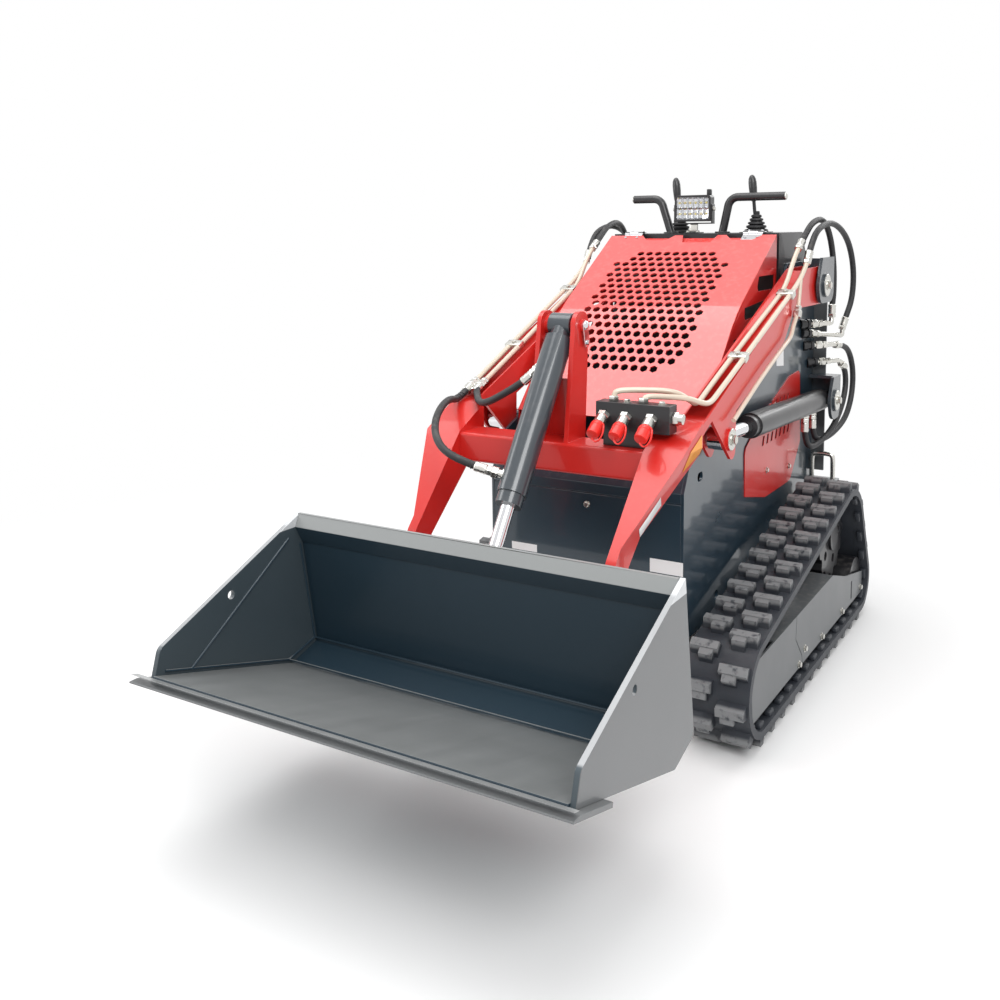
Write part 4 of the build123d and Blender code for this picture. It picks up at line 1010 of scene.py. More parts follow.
@dataclass
class Hood:
    """The fine-holed hood, its chrome hinges and its blank labels.

    Places on its face are millimetres across the machine, then down from the face's top edge.
    """

    palette: Palette
    half: float = 276.4
    thick: float = 4.6
    top: Flat = (640.0, 1276.0)
    bend: Flat = (280.6, 1059.5)
    foot: Flat = (20.0, 790.0)
    bend_reach: float = 141.0
    line_steps: int = 12
    hole_pitch: float = 29.5
    hole_radius: float = 12.4
    hole_middle: float = -12.0
    hole_depth: float = 40.0
    row_pitch: float = 30.2
    field_from: float = 108.0
    field_rows: int = 18
    field_columns: int = 13
    full_rows_each_way: float = 5.5
    lid_sharp: float = math.radians(30.0)
    # Each recess: its middle, half its width at the edge, half its width at its end, its depth
    recesses: tuple[tuple[float, float, float, float], ...] = (
        (-108.0, 56.0, 34.0, 28.0), (32.0, 58.0, 46.0, 42.0), (176.0, 58.0, 34.0, 28.0),
    )
    recess_clear: Flat = (30.0, 20.0)
    lining_lap: float = 8.0
    lining_depths: Flat = (-6.0, -4.5)
    hinge_xs: tuple[float, ...] = (-200.0, 200.0)
    hinge_axis: Flat = (653.0, 1283.0)
    leaf_half: float = 30.0
    leaf_down: Flat = (-10.0, 26.0)
    leaf_out: Flat = (0.6, 3.4)
    leaf_bolts: tuple[float, ...] = (-20.0, 20.0)
    bolt_down: float = 14.0
    bolt_across: float = 10.0
    knuckle_radius: float = 9.4
    moving_knuckle: Flat = (-14.6, 29.2)
    fixed_knuckles: tuple[Flat, ...] = ((-31.2, 16.0), (15.2, 16.0))
    fixed_half: float = 31.0
    fixed_back: Flat = (4.0, 32.0)
    fixed_heights: Flat = (1287.2, 1290.2)
    fixed_bolt_back: float = 22.0
    label_size: Flat = (57.0, 92.0)
    labels: tuple[Flat, ...] = ((214.0, 198.0), (-247.0, 198.0))
    label_out: Flat = (0.1, 0.5)

    def build(self) -> None:
        """Makes every piece of the hood."""
        self._lid()
        self._lining()
        self._hinges()
        self._labels()

    def _on_face(self, x: float, down: float, out: float = 0.0) -> Vector:
        """A place on the face's flat upper part, or a distance out from it."""
        heading = (Vector(self.bend) - Vector(self.top)).normalized()
        return mm(x, *(Vector(self.top) + heading * down + Vector((heading.y, -heading.x)) * out))

    def _outward(self, start: float, end: float) -> Vector:
        """The move between two distances out from the face."""
        return self._on_face(0, 0, end) - self._on_face(0, 0, start)

    def _profile(self) -> list[Vector]:
        """The lid's face in side view, as evenly spaced points."""
        bend, top, foot = Vector(self.bend), Vector(self.top), Vector(self.foot)
        above = bend + (top - bend).normalized() * self.bend_reach
        below = bend + (foot - bend).normalized() * self.bend_reach
        return line_spots([mm(0, *spot) for spot in (top, above, bend, below, foot)], self.line_steps)

    def _along(self, spots: list[Vector], down: float) -> tuple[Vector, Vector]:
        """Place and heading on the face, a distance down from its top edge.

        Args:
            spots: the face in side view.
            down: the distance, in millimetres.

        Returns:
            The place and the heading.
        """
        left = down * MM
        for here, there in zip(spots, spots[1:]):
            length = (there - here).length
            if left <= length:
                return here + (there - here) * (left / length), (there - here).normalized()
            left -= length
        return spots[-1], (spots[-1] - spots[-2]).normalized()

    def _lid(self) -> None:
        """The bent sheet, cut by its field of six-sided holes and the recesses of its top edge."""
        spots = self._profile()
        sheet = bmesh.new()
        line = [sheet.verts.new(spot + mm(-self.half, 0, 0)) for spot in spots]
        edges = [sheet.edges.new(pair) for pair in zip(line, line[1:])]
        wide = bmesh.ops.extrude_edge_only(sheet, edges=edges)["geom"]
        moved = [item for item in wide if isinstance(item, bmesh.types.BMVert)]
        bmesh.ops.translate(sheet, vec=mm(2 * self.half, 0, 0), verts=moved)
        bmesh.ops.recalc_face_normals(sheet, faces=sheet.faces)
        if sum(face.normal.z for face in sheet.faces) > 0:
            bmesh.ops.reverse_faces(sheet, faces=sheet.faces)
        bmesh.ops.solidify(sheet, geom=sheet.faces[:], thickness=self.thick * MM)
        shape = Shape()
        shape.add(sheet)
        lid = shape.piece("hood_lid", Finish.HOOD_RED_SHEEN, self.palette, "hood", even=True)
        cutter = self._cutter(spots)
        cut = lid.modifiers.new("holes", "BOOLEAN")
        cut.operation = "DIFFERENCE"
        cut.solver = "EXACT"
        cut.object = cutter
        lid.modifiers.move(len(lid.modifiers) - 1, 0)
        depsgraph = bpy.context.evaluated_depsgraph_get()
        carved = bpy.data.meshes.new_from_object(lid.evaluated_get(depsgraph))
        lid.modifiers.clear()
        lid.data = carved
        carved.set_sharp_from_angle(angle=self.lid_sharp)
        bpy.data.objects.remove(cutter)
        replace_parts(lid, "hood")

    def _cutter(self, spots: list[Vector]) -> bpy.types.Object:
        """The forms that are cut out of the lid, as one object that isn't kept.

        Args:
            spots: the face in side view.

        Returns:
            The object.
        """
        shape = Shape()
        radius = self.hole_radius * MM
        for row in range(self.field_rows):
            place, heading = self._along(spots, self.field_from + row * self.row_pitch)
            out = Vector((1, 0, 0)).cross(heading)
            turn = Matrix((out.cross(heading), heading, out)).transposed().to_4x4()
            far = abs(row - (self.field_rows - 1) / 2)
            fewer = 2 * max(0, round((far - self.full_rows_each_way) / 2))
            count = self.field_columns - row % 2 - fewer
            for column in range(count):
                x = (column - (count - 1) / 2) * self.hole_pitch + self.hole_middle
                part = bmesh.new()
                bmesh.ops.create_cone(
                    part, cap_ends=True, segments=6, radius1=radius, radius2=radius, depth=self.hole_depth * MM
                )
                shape.add(part, Matrix.Translation(place + mm(x, 0, 0)) @ turn)
        above, out = self.recess_clear
        for x, wide, narrow, depth in self.recesses:
            half_outline = ((wide, -above), (wide, 0.0), (narrow, depth))
            mirrored = [(-dx, down) for dx, down in reversed(half_outline)]
            outline = [self._on_face(x + dx, down, out) for dx, down in (*half_outline, *mirrored)]
            shape.plate(outline, self._outward(out, -out), 0.003)
        mesh = bpy.data.meshes.new("cutter")
        shape.mesh.to_mesh(mesh)
        shape.mesh.free()
        cutter = bpy.data.objects.new("cutter", mesh)
        bpy.context.scene.collection.objects.link(cutter)
        return cutter

    def _lining(self) -> None:
        """Red plates that show through the recesses."""
        shape = Shape()
        near, far = self.lining_depths
        for x, wide, _, depth in self.recesses:
            reach = wide + self.lining_lap
            spots = rectangle((x - reach, 1.0), (x + reach, depth + self.lining_lap))
            corners = [self._on_face(*spot, near) for spot in spots]
            shape.plate(corners, self._outward(far, near), 0.0003)
        shape.piece("hood_lining", Finish.RED, self.palette, "hood")

    def _hinges(self) -> None:
        """Two chrome hinges with rolled knuckles."""
        y, z = self.hinge_axis
        for x, name in zip(self.hinge_xs, ("right", "left")):
            moving, fixed = Shape(), Shape()
            section = rectangle((self.leaf_down[0], self.leaf_out[0]), (self.leaf_down[1], self.leaf_out[1]))
            corners = [self._on_face(x - self.leaf_half, *corner) for corner in section]
            moving.plate(corners, mm(2 * self.leaf_half, 0, 0), 0.0005)
            low = mm(x - self.fixed_half, y + self.fixed_back[0], self.fixed_heights[0])
            high = mm(x + self.fixed_half, y + self.fixed_back[1], self.fixed_heights[1])
            fixed.block(low, high, 0.0006)
            for dx in self.leaf_bolts:
                foot = self._on_face(x + dx, self.bolt_down, self.leaf_out[1])
                moving.bolt(foot, self._outward(0, 1), self.bolt_across)
                foot = mm(x + dx, y + self.fixed_bolt_back, self.fixed_heights[1])
                fixed.bolt(foot, Axis.Z.value, self.bolt_across)
            for shape, knuckles in ((moving, (self.moving_knuckle,)), (fixed, self.fixed_knuckles)):
                for start, length in knuckles:
                    rows = ((0, self.knuckle_radius), (length, self.knuckle_radius))
                    shape.turned(mm(x + start, y, z), Axis.X.value, rows)
            moving.piece(f"hinge_leaf_{name}", Finish.CHROME, self.palette, "hood")
            fixed.piece(f"hinge_plate_{name}", Finish.CHROME, self.palette, "chassis")

    def _labels(self) -> None:
        """Blank white labels on the hood."""
        shape = Shape()
        near, far = self.label_out
        half_width, half_height = self.label_size[0] / 2, self.label_size[1] / 2
        for x, down in self.labels:
            spots = rectangle((x - half_width, down - half_height), (x + half_width, down + half_height))
            corners = [self._on_face(*spot, near) for spot in spots]
            shape.plate(corners, self._outward(near, far), 0.0001)
        shape.piece("hood_labels", Finish.WHITE_FILM, self.palette, "hood")


@dataclass
class Levers:
    """Pleated rubber boots, the levers in them, and the handle bars' ends."""

    palette: Palette
    deck: float = 1285.3
    xs: tuple[float, ...] = (-93.0, 166.0)
    y: float = 780.0
    foot_half: float = 42.0
    foot_height: float = 2.4
    lean: Spot = (-0.10, 0.02, 1.0)
    boot: Profile = (
        (0, 37), (3, 38), (8, 36), (11, 25), (14, 32), (20, 31.5), (23, 21), (26, 27), (31, 26), (34, 17),
        (37, 22), (42, 21), (45, 13), (48, 17), (53, 16), (56, 10), (60, 10.5), (66, 9),
    )
    grip: Profile = (
        (60, 5.5), (98, 5.5), (100, 9), (112, 11.5), (140, 13), (158, 13), (170, 11.5), (178, 8), (182, 3.5),
    )
    bar_y: float = 720.0
    bar_tip_z: float = 1398.0
    bar_tips: tuple[Flat, ...] = ((-232.0, -1.0), (278.0, 1.0))
    plug: Profile = ((-2, 12.4), (0.6, 12.4), (2.6, 11), (3.6, 8))
    bar_feet: tuple[float, ...] = (-100.0, 75.0)
    flange: Profile = ((0, 24), (4, 24), (5, 23))

    def build(self) -> None:
        """Makes every piece."""
        boots, grips, plugs, flanges = Shape(), Shape(), Shape(), Shape()
        for x in self.xs:
            low = mm(x - self.foot_half, self.y - self.foot_half, self.deck)
            high = mm(x + self.foot_half, self.y + self.foot_half, self.deck + self.foot_height)
            boots.block(low, high, 0.0008)
            base = mm(x, self.y, self.deck + 2)
            boots.turned(base, Axis.Z.value, self.boot, 36)
            grips.turned(base, Vector(self.lean), self.grip, 28)
        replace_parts(boots.piece("lever_boots", Finish.RUBBER, self.palette, "chassis"), "joysticks")
        grips.piece("lever_grips", Finish.BLACK, self.palette, "chassis")
        for x, sign in self.bar_tips:
            plugs.turned(mm(x, self.bar_y, self.bar_tip_z), Vector((sign, 0, 0)), self.plug, 28)
        for x in self.bar_feet:
            flanges.turned(mm(x, self.bar_y, self.deck), Axis.Z.value, self.flange, 32)
        plugs.piece("handle_plugs", Finish.PLATED, self.palette, "chassis")
        flanges.piece("handle_flanges", Finish.BLACK, self.palette, "chassis")


@dataclass
class Lamp:
    """Two rows of mirrored cells behind glass, with the lamp's screws and vent."""

    palette: Palette
    middle: Spot = (-13.0, 683.0, 1365.0)
    cells: tuple[int, int] = (6, 2)
    mirror_size: Flat = (106.0, 68.0)
    mirror_back: float = 1.6
    rim: float = 1.2
    slope: Flat = (4.6, 4.2)
    led: Spot = (2.6, 1.3, 3.4)
    led_back: float = 4.9
    glass: Spot = (54.0, 0.4, 35.0)
    glass_back: float = 0.6
    bar: Spot = (53.0, 0.65, 1.2)
    bar_back: float = 1.55
    vent: tuple[Spot, Spot] = ((42.0, 14.0, 41.0), (56.0, 28.0, 60.0))
    stay: tuple[Spot, Spot] = ((-13.0, 10.0, -75.0), (13.0, 12.6, -52.0))
    side_screw: tuple[Spot, float] = ((65.0, 17.0, -2.0), 13.0)
    foot_screw: tuple[Spot, float] = ((17.0, 6.0, -75.7), 11.0)

    def build(self) -> None:
        """Makes every piece."""
        mirror, leds, glass, frame, screws = Shape(), Shape(), Shape(), Shape(), Shape()
        mirror.keep(self._mirror())
        across, rows = self.cells
        width, height = self.mirror_size
        for column in range(across):
            for row in range(rows):
                dx = (column - (across - 1) / 2) * width / across
                dz = (row - (rows - 1) / 2) * height / rows
                self._slab(leds, (dx, self.led_back, dz), self.led, 0.0004)
        self._slab(glass, (0, self.glass_back, 0), self.glass, 0.0002)
        self._slab(frame, (0, self.bar_back, 0), self.bar, 0.0003)
        frame.block(self._at(*self.vent[0]), self._at(*self.vent[1]), 0.002)
        mirror.piece("lamp_mirror", Finish.CHROME, self.palette, "chassis")
        leds.piece("lamp_leds", Finish.LED, self.palette, "chassis")
        glass.piece("lamp_glass", Finish.GLASS, self.palette, "chassis")
        frame.piece("lamp_trim", Finish.LAMP, self.palette, "chassis")
        for _, sign in SIDES:
            (x, y, z), across = self.side_screw
            screws.bolt(self._at(sign * x, y, z), Vector((sign, 0, 0)), across)
            (x, y, z), across = self.foot_screw
            screws.bolt(self._at(sign * x, y, z), Axis.Z.value, across)
        screws.block(self._at(*self.stay[0]), self._at(*self.stay[1]), 0.0006)
        screws.piece("lamp_screws", Finish.PLATED, self.palette, "chassis")

    def _at(self, x: float, y: float, z: float) -> Vector:
        """A place measured in millimetres from the middle of the lamp's face."""
        return mm(*self.middle) + mm(x, y, z)

    def _slab(self, shape: Shape, middle: Spot, half: Spot, edge: float) -> None:
        """Adds a small block.

        Args:
            shape: the piece that gets it.
            middle: its middle, from the lamp's.
            half: half its size.
            edge: the radius of its edges.
        """
        shape.block(self._at(*middle) - mm(*half), self._at(*middle) + mm(*half), edge)

    def _mirror(self) -> bmesh.types.BMesh:
        """The sheet of sunk cells."""
        across, rows = self.cells
        sheet = bmesh.new()
        bmesh.ops.create_grid(sheet, x_segments=across, y_segments=rows, size=0.5)
        bmesh.ops.scale(sheet, vec=mm(*self.mirror_size, 1 / MM), verts=sheet.verts)
        bmesh.ops.inset_individual(sheet, faces=sheet.faces[:], thickness=self.rim * MM, depth=0.0)
        inner = sorted(sheet.faces, key=lambda face: face.calc_area())[-across * rows:]
        side, depth = self.slope
        bmesh.ops.inset_individual(sheet, faces=inner, thickness=side * MM, depth=-depth * MM)
        upright = Matrix.Translation(self._at(0, self.mirror_back, 0)) @ Matrix.Rotation(math.pi / 2, 4, "X")
        bmesh.ops.transform(sheet, matrix=upright, verts=sheet.verts)
        return sheet


@dataclass
class Dash:
    """A blank meter, switches, a throttle lever and a stop button, of a usual kind.

    Places on it are millimetres across the machine, then down from the slope's top edge.
    """

    palette: Palette
    top: Flat = (915.0, 1285.0)
    foot: Flat = (1045.0, 1055.0)
    panel: tuple[Flat, Flat] = ((-170.0, 40.0), (170.0, 150.0))
    panel_out: Flat = (0.2, 3.0)
    row: float = 92.0
    meter_x: float = -95.0
    meter_rim: Profile = ((0, 30), (7, 30), (7, 26), (4, 26), (4, 30))
    meter_face: Profile = ((0, 26.5), (2, 26.5))
    key_x: float = -20.0
    key_barrel: Profile = ((0, 13), (4, 13), (6, 10), (12, 10), (13, 9))
    key_out: float = 16.0
    key: Spot = (1.0, 5.0, 12.0)
    stop_x: float = 132.0
    stop_head: Profile = ((14, 12), (18, 19), (24, 19), (28, 15), (29, 8))
    stop_base: Profile = ((0, 16), (6, 16), (8, 11), (15, 11))
    screws: tuple[Flat, ...] = ((-158.0, 52.0), (158.0, 52.0), (-158.0, 138.0), (158.0, 138.0))
    switches: tuple[float, ...] = (30.0, 66.0)
    switch_half: Flat = (9.0, 14.0)
    switch_height: float = 6.0
    throttle: tuple[Spot, ...] = ((-200.0, 70.0, 0.0), (-200.0, 66.0, 20.0), (-200.0, 52.0, 62.0))
    throttle_knob: Profile = ((0, 8), (5, 14), (14, 15), (22, 12), (26, 5))
    knob_from: float = 60.0

    def build(self) -> None:
        """Makes every piece."""
        out = self._on(0, 0, 1) - self._on(0, 0, 0)
        down = self._on(0, 1) - self._on(0, 0)
        panel, rims, face, stop, knobs = Shape(), Shape(), Shape(), Shape(), Shape()
        near, thick = self.panel_out
        panel.plate([self._on(*corner, near) for corner in rectangle(*self.panel)], out * thick, 0.001)
        panel.piece("dash_panel", Finish.GREY, self.palette, "chassis")
        rims.turned(self._on(self.meter_x, self.row, thick), out, self.meter_rim, 40, ring=True)
        rims.turned(self._on(self.key_x, self.row, thick), out, self.key_barrel, 30)
        half_x, half_y, height = self.key
        upright = facing(self._on(self.key_x, self.row, self.key_out), out)
        rims.block(mm(-half_x, -half_y, 0), mm(half_x, half_y, height), 0.0004, upright)
        for x, along in self.screws:
            rims.bolt(self._on(x, along, thick + near), out, 9)
        rims.piece("dash_fittings", Finish.CHROME, self.palette, "chassis")
        face.turned(self._on(self.meter_x, self.row, thick), out, self.meter_face, 40)
        face.piece("dash_meter", Finish.WHITE_FILM, self.palette, "chassis")
        stop.turned(self._on(self.stop_x, self.row, thick), out, self.stop_head, 32)
        stop.piece("stop_button", Finish.RED_CAP, self.palette, "chassis")
        knobs.turned(self._on(self.stop_x, self.row, thick), out, self.stop_base, 32)
        dx, dy = self.switch_half
        for x in self.switches:
            corners = rectangle((x - dx, self.row - dy), (x + dx, self.row + dy))
            knobs.plate([self._on(*corner, thick) for corner in corners], out * self.switch_height, 0.0015)
        knobs.tube([self._on(*spot) for spot in self.throttle], 5)
        tip_x, tip_down, _ = self.throttle[-1]
        tip = self._on(tip_x, tip_down, self.knob_from)
        knobs.turned(tip, out - down * 0.3, self.throttle_knob, 28)
        knobs.piece("dash_knobs", Finish.BLACK, self.palette, "chassis")

    def _on(self, x: float, down: float, out: float = 0.0) -> Vector:
        """A place on the sloping dash, or a distance out from it."""
        heading = (Vector(self.foot) - Vector(self.top)).normalized()
        return mm(x, *(Vector(self.top) + heading * down + Vector((-heading.y, heading.x)) * out))


@dataclass(frozen=True)
class Hose:
    """A hydraulic hose that is fixed at both ends, steered by points on the machine's left."""

    name: str
    start_body: str
    end_body: str
    points: tuple[Spot, ...]
    radius: float = 9.5
    wrapped: bool = False
    both_sides: bool = True


# The tilt hoses are on the right only; the others have a twin on the right
HOSES = (
    Hose("arm_hose_inner", "arms", "chassis", (
        (345, 636, 1240), (346, 690, 1273), (349, 762, 1316), (355, 862, 1328), (360, 935, 1275),
        (364, 975, 1180), (362, 990, 1085), (358, 990, 1045), (358, 988, 1010),
    )),
    Hose("arm_hose_outer", "arms", "chassis", (
        (370, 640, 1198), (372, 672, 1250), (376, 735, 1300), (382, 885, 1318), (390, 1040, 1265),
        (396, 1110, 1165), (394, 1112, 1060), (380, 1082, 995), (372, 1074, 962),
    )),
    Hose("lift_hose_upper", "chassis", "lift_barrel", (
        (366, 1016, 908), (370, 1070, 905), (378, 1150, 878), (385, 1190, 800), (384, 1180, 710),
        (378, 1120, 640), (362, 1000, 604), (340, 905, 598), (329.5, 889, 640), (329.5, 889, 679),
    )),
    Hose("lift_hose_lower", "chassis", "lift_barrel", (
        (372, 1072, 838), (375, 1105, 825), (378, 1122, 765), (377, 1085, 700), (368, 1008, 632),
        (352, 905, 596), (338, 820, 590), (329.5, 799, 635), (329.5, 799, 683),
    )),
    Hose("tilt_hose_upper", "tilt_barrel", "arms", (
        (-48, -291, 951), (-76, -300, 925), (-142, -303, 886), (-185, -290, 866), (-225, -262, 857),
        (-262, -218, 858), (-290, -175, 858), (-318, -140, 869), (-318, -118, 878),
    ), both_sides=False),
    Hose("tilt_hose_lower", "tilt_barrel", "arms", (
        (-62, -484, 739), (-100, -495, 750), (-175, -500, 773), (-220, -478, 803), (-255, -430, 834),
        (-282, -362, 858), (-305, -290, 866), (-335, -210, 850), (-346, -150, 865), (-346, -118, 878),
    ), wrapped=True, both_sides=False),
)


@dataclass(frozen=True)
class Pipe:
    """A hard tube on each arm: bent from the block on the left, along the beam, and up to its hose.

    Places on the beam are the distance from the machine's middle and y.
    """

    front: tuple[Spot, ...]
    left_beam: tuple[Flat, ...]
    right_beam: tuple[Flat, ...]
    rear: tuple[Spot, ...]


PIPES = (
    Pipe(
        (
            (160, -262, 890), (160, -262, 906), (166, -256, 917), (207, -226, 917), (285, -190, 915),
            (314, -165, 893),
        ),
        ((322, -130), (322, -60), (326, 100), (337, 420), (341, 520)),
        ((318, -118), (320, 0), (337, 420), (341, 520)),
        ((344, 590, 1208), (345, 636, 1240)),
    ),
    Pipe(
        (
            (238, -262, 890), (238, -262, 898), (243, -256, 907), (262, -240, 907), (322, -190, 900),
            (344, -160, 885),
        ),
        ((352, -118), (354, -60), (359, 100), (367, 420), (369, 540)),
        ((346, -118), (352, 0), (367, 420), (369, 540)),
        ((370, 600, 1165), (370, 640, 1198)),
    ),
)
OUTSIDE_PIPE = (
    (378, -20, 822), (378, 60, 852), (378, 200, 905), (378, 400, 970), (378, 462, 988), (378, 484, 1020),
    (377, 527, 1052), (375, 545, 1090), (373, 565, 1150),
)


@dataclass
class ArmPipes:
    """The hard tubes on the arms with their clamps and unions."""

    palette: Palette
    slope: float = 0.38862
    beam_start: Flat = (-205.0, 831.9)
    stand_off: float = 12.0
    radius: float = 7.0
    outside_radius: float = 6.0
    clamps: tuple[Flat, ...] = ((342.5, 112.0), (355.0, 480.0))
    clamp: tuple[Spot, Spot] = ((-25.0, -15.0, -11.0), (25.0, 15.0, 9.0))
    unions: tuple[Flat, ...] = ((-318.0, -118.0), (-346.0, -118.0))
    # Each union nut: how far along it starts, its width over the corners, its height
    union_nuts: tuple[Spot, ...] = ((0.0, 24.0, 18.0), (20.0, 21.0, 12.0))
    tee_way: Spot = (0.0, 0.4, 0.9)
    tee_nuts: tuple[tuple[Spot, float, float], ...] = (((377, 520, 1040), 26, 22), ((377, 527, 1060), 20, 14))

    def build(self) -> None:
        """Makes every piece."""
        self._tubes()
        self._clamps()

    def _on_beam(self, x: float, y: float) -> Vector:
        """A place on a tube's line above the arm's beam."""
        start_y, start_z = self.beam_start
        return mm(x, y, start_z + (y - start_y) * self.slope + self.stand_off)

    def _tubes(self) -> None:
        """Cream tubes: straight on the beams, bent at both ends."""
        shape = Shape()
        for side, sign in SIDES:
            shape.tube([mm(x * sign, y, z) for x, y, z in OUTSIDE_PIPE], self.outside_radius)
            for pipe in PIPES:
                front, beam = (pipe.front, pipe.left_beam) if side == "left" else ((), pipe.right_beam)
                line = [mm(*spot) for spot in front]
                line += [self._on_beam(x * sign, y) for x, y in beam]
                line += [mm(x * sign, y, z) for x, y, z in pipe.rear]
                shape.tube(line, self.radius)
        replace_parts(shape.piece("arm_pipes", Finish.CREAM, self.palette, "arms"), "arm_tubes")

    def _clamps(self) -> None:
        """Clamps over the tubes, each with its bolt, and unions at the hoses."""
        shape, bolts = Shape(), Shape()
        tilt = Matrix.Rotation(math.atan(self.slope), 4, "X")
        low, high = self.clamp
        for x, y in self.clamps:
            for _, sign in SIDES:
                place = Matrix.Translation(self._on_beam(x * sign, y)) @ tilt
                shape.block(mm(*low), mm(*high), 0.002, place)
                bolts.bolt(place @ mm(0, 0, high[2]), place.to_3x3() @ Axis.Z.value, 14)
        shape.piece("tube_clamps", Finish.PLATED, self.palette, "arms")
        along = Vector((0, 1, self.slope)).normalized()
        for x, y in self.unions:
            for start, across, height in self.union_nuts:
                bolts.nut(self._on_beam(x, y) + along * start * MM, along, across, height)
        for _, sign in SIDES:
            for (x, y, z), across, height in self.tee_nuts:
                bolts.nut(mm(sign * x, y, z), Vector(self.tee_way), across, height)
        bolts.piece("tube_unions", Finish.PLATED, self.palette, "arms")


@dataclass
class Plumbing:
    """Hoses, the ports on the cylinders, and the bulkhead fittings on the body's sides."""

    palette: Palette
    ferrule: Profile = (
        (0, 8), (2, 11), (6, 12.4), (10, 11.4), (15, 12.4), (20, 11.4), (25, 12.4), (31, 12.4), (33, 10.6),
    )
    ferrule_from: float = 3.0
    hose_nut: Spot = (-8.0, 25.0, 13.0)
    wrap_strip: Flat = (0.6, 1.6)
    wrap_turns: float = 34.0
    # Each port on the tilt cylinder: the barrel's middle there, and the hose's end
    tilt_ports: tuple[tuple[Spot, Spot], ...] = (
        ((0, -269.5, 996.5), (-48, -291, 951)), ((0, -459.6, 721.9), (-62, -484, 739)),
    )
    tilt_inset: float = 24.0
    tilt_nut: Flat = (30.0, 17.0)
    # Each port on a lift cylinder: y, the barrel's middle, and the hose's end
    lift_ports: tuple[Spot, ...] = ((891.1, 731.0, 679.0), (801.2, 734.9, 683.0))
    lift_x: float = 329.5
    lift_back: float = 2.0
    lift_inset: float = 20.0
    lift_nut: Spot = (22.0, 27.0, 14.0)
    # Each bulkhead fitting: (y, z) on the body's side, its knee, and its mouth
    bulkheads: tuple[tuple[Flat, Spot, Spot], ...] = (
        ((889.0, 985.0), (358.0, 982.0, 984.0), (358.0, 988.0, 1010.0)),
        ((903.0, 955.0), (372.0, 1070.0, 936.0), (372.0, 1074.0, 962.0)),
        ((930.0, 910.0), (362.0, 1000.0, 912.0), (366.0, 1016.0, 908.0)),
        ((978.0, 848.0), (368.0, 1060.0, 852.0), (372.0, 1072.0, 838.0)),
    )
    body_half: float = 285.0
    bulkhead_nut: Profile = ((-6, 17), (8, 17), (9, 13), (20, 13), (21, 16), (30, 16))
    bulkhead_adaptors: tuple[Spot, ...] = ((40.0, 28.0, 22.0), (66.0, 24.0, 16.0))
    elbow_radius: float = 8.0
    elbow_straight: Flat = (30.0, 80.0)
    elbow_short: float = 14.0

    def build(self) -> None:
        """Makes every piece."""
        for hose in HOSES:
            for side, sign in SIDES if hose.both_sides else SIDES[:1]:
                self._hose(hose, side, sign)
        self._tilt_ports()
        for side, sign in SIDES:
            self._lift_ports(side, sign)
        for side, sign in SIDES:
            self._elbows(side, sign)

    def _hose(self, hose: Hose, side: str, sign: int) -> None:
        """One hose with its crimped ends.

        Args:
            hose: what it is.
            side: the side that it is on.
            sign: that side's sign along X.
        """
        points = [mm(x * sign, y, z) for x, y, z in hose.points]
        bodies = (hose.start_body, hose.end_body)
        ends = [f"{body}_{side}" if body == "lift_barrel" else body for body in bodies]
        name = f"{hose.name}_{side}" if hose.both_sides else hose.name
        skin = Shape()
        skin.tube(points, hose.radius, 5, 10)
        if hose.wrapped:
            lift, strip = self.wrap_strip
            skin.wrap(points[1:-1], hose.radius + lift, strip, self.wrap_turns)
        body = skin.piece(name, Finish.RUBBER, self.palette, None)
        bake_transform(body)
        start, across, height = self.hose_nut
        for end, base, ahead in ((ends[0], points[0], points[1]), (ends[1], points[-1], points[-2])):
            crimp = Shape()
            axis = (ahead - base).normalized()
            crimp.nut(base + axis * start * MM, axis, across, height)
            crimp.turned(base + axis * self.ferrule_from * MM, axis, self.ferrule, 28)
            crimp.piece(f"{name}_end_{end}", Finish.PLATED, self.palette, end)

    def _tilt_ports(self) -> None:
        """The tilt cylinder's two ports."""
        shape = Shape()
        for middle, end in self.tilt_ports:
            axis = (mm(*end) - mm(*middle)).normalized()
            reach = (mm(*end) - mm(*middle)).length / MM - self.tilt_inset
            rows = ((0, 15), (12, 15), (13, 10), (reach - 2, 10))
            shape.turned(mm(*middle) + axis * self.tilt_inset * MM, axis, rows, 28)
            shape.nut(mm(*middle) + axis * reach * MM, axis, *self.tilt_nut)
        shape.piece("tilt_ports", Finish.PLATED, self.palette, "tilt_barrel")

    def _lift_ports(self, side: str, sign: int) -> None:
        """One lift cylinder's two ports.

        Args:
            side: the side that it is on.
            sign: that side's sign along X.
        """
        shape = Shape()
        above, across, height = self.lift_nut
        for y, middle, end in self.lift_ports:
            foot = middle - self.lift_inset
            rows = ((0, 13), (10, 13), (11, 9), (foot - end, 9))
            shape.turned(mm(self.lift_x * sign, y - self.lift_back, foot), -Axis.Z.value, rows, 28)
            shape.nut(mm(self.lift_x * sign, y - self.lift_back, end + above), -Axis.Z.value, across, height)
        shape.piece(f"lift_ports_{side}", Finish.PLATED, self.palette, f"lift_barrel_{side}")

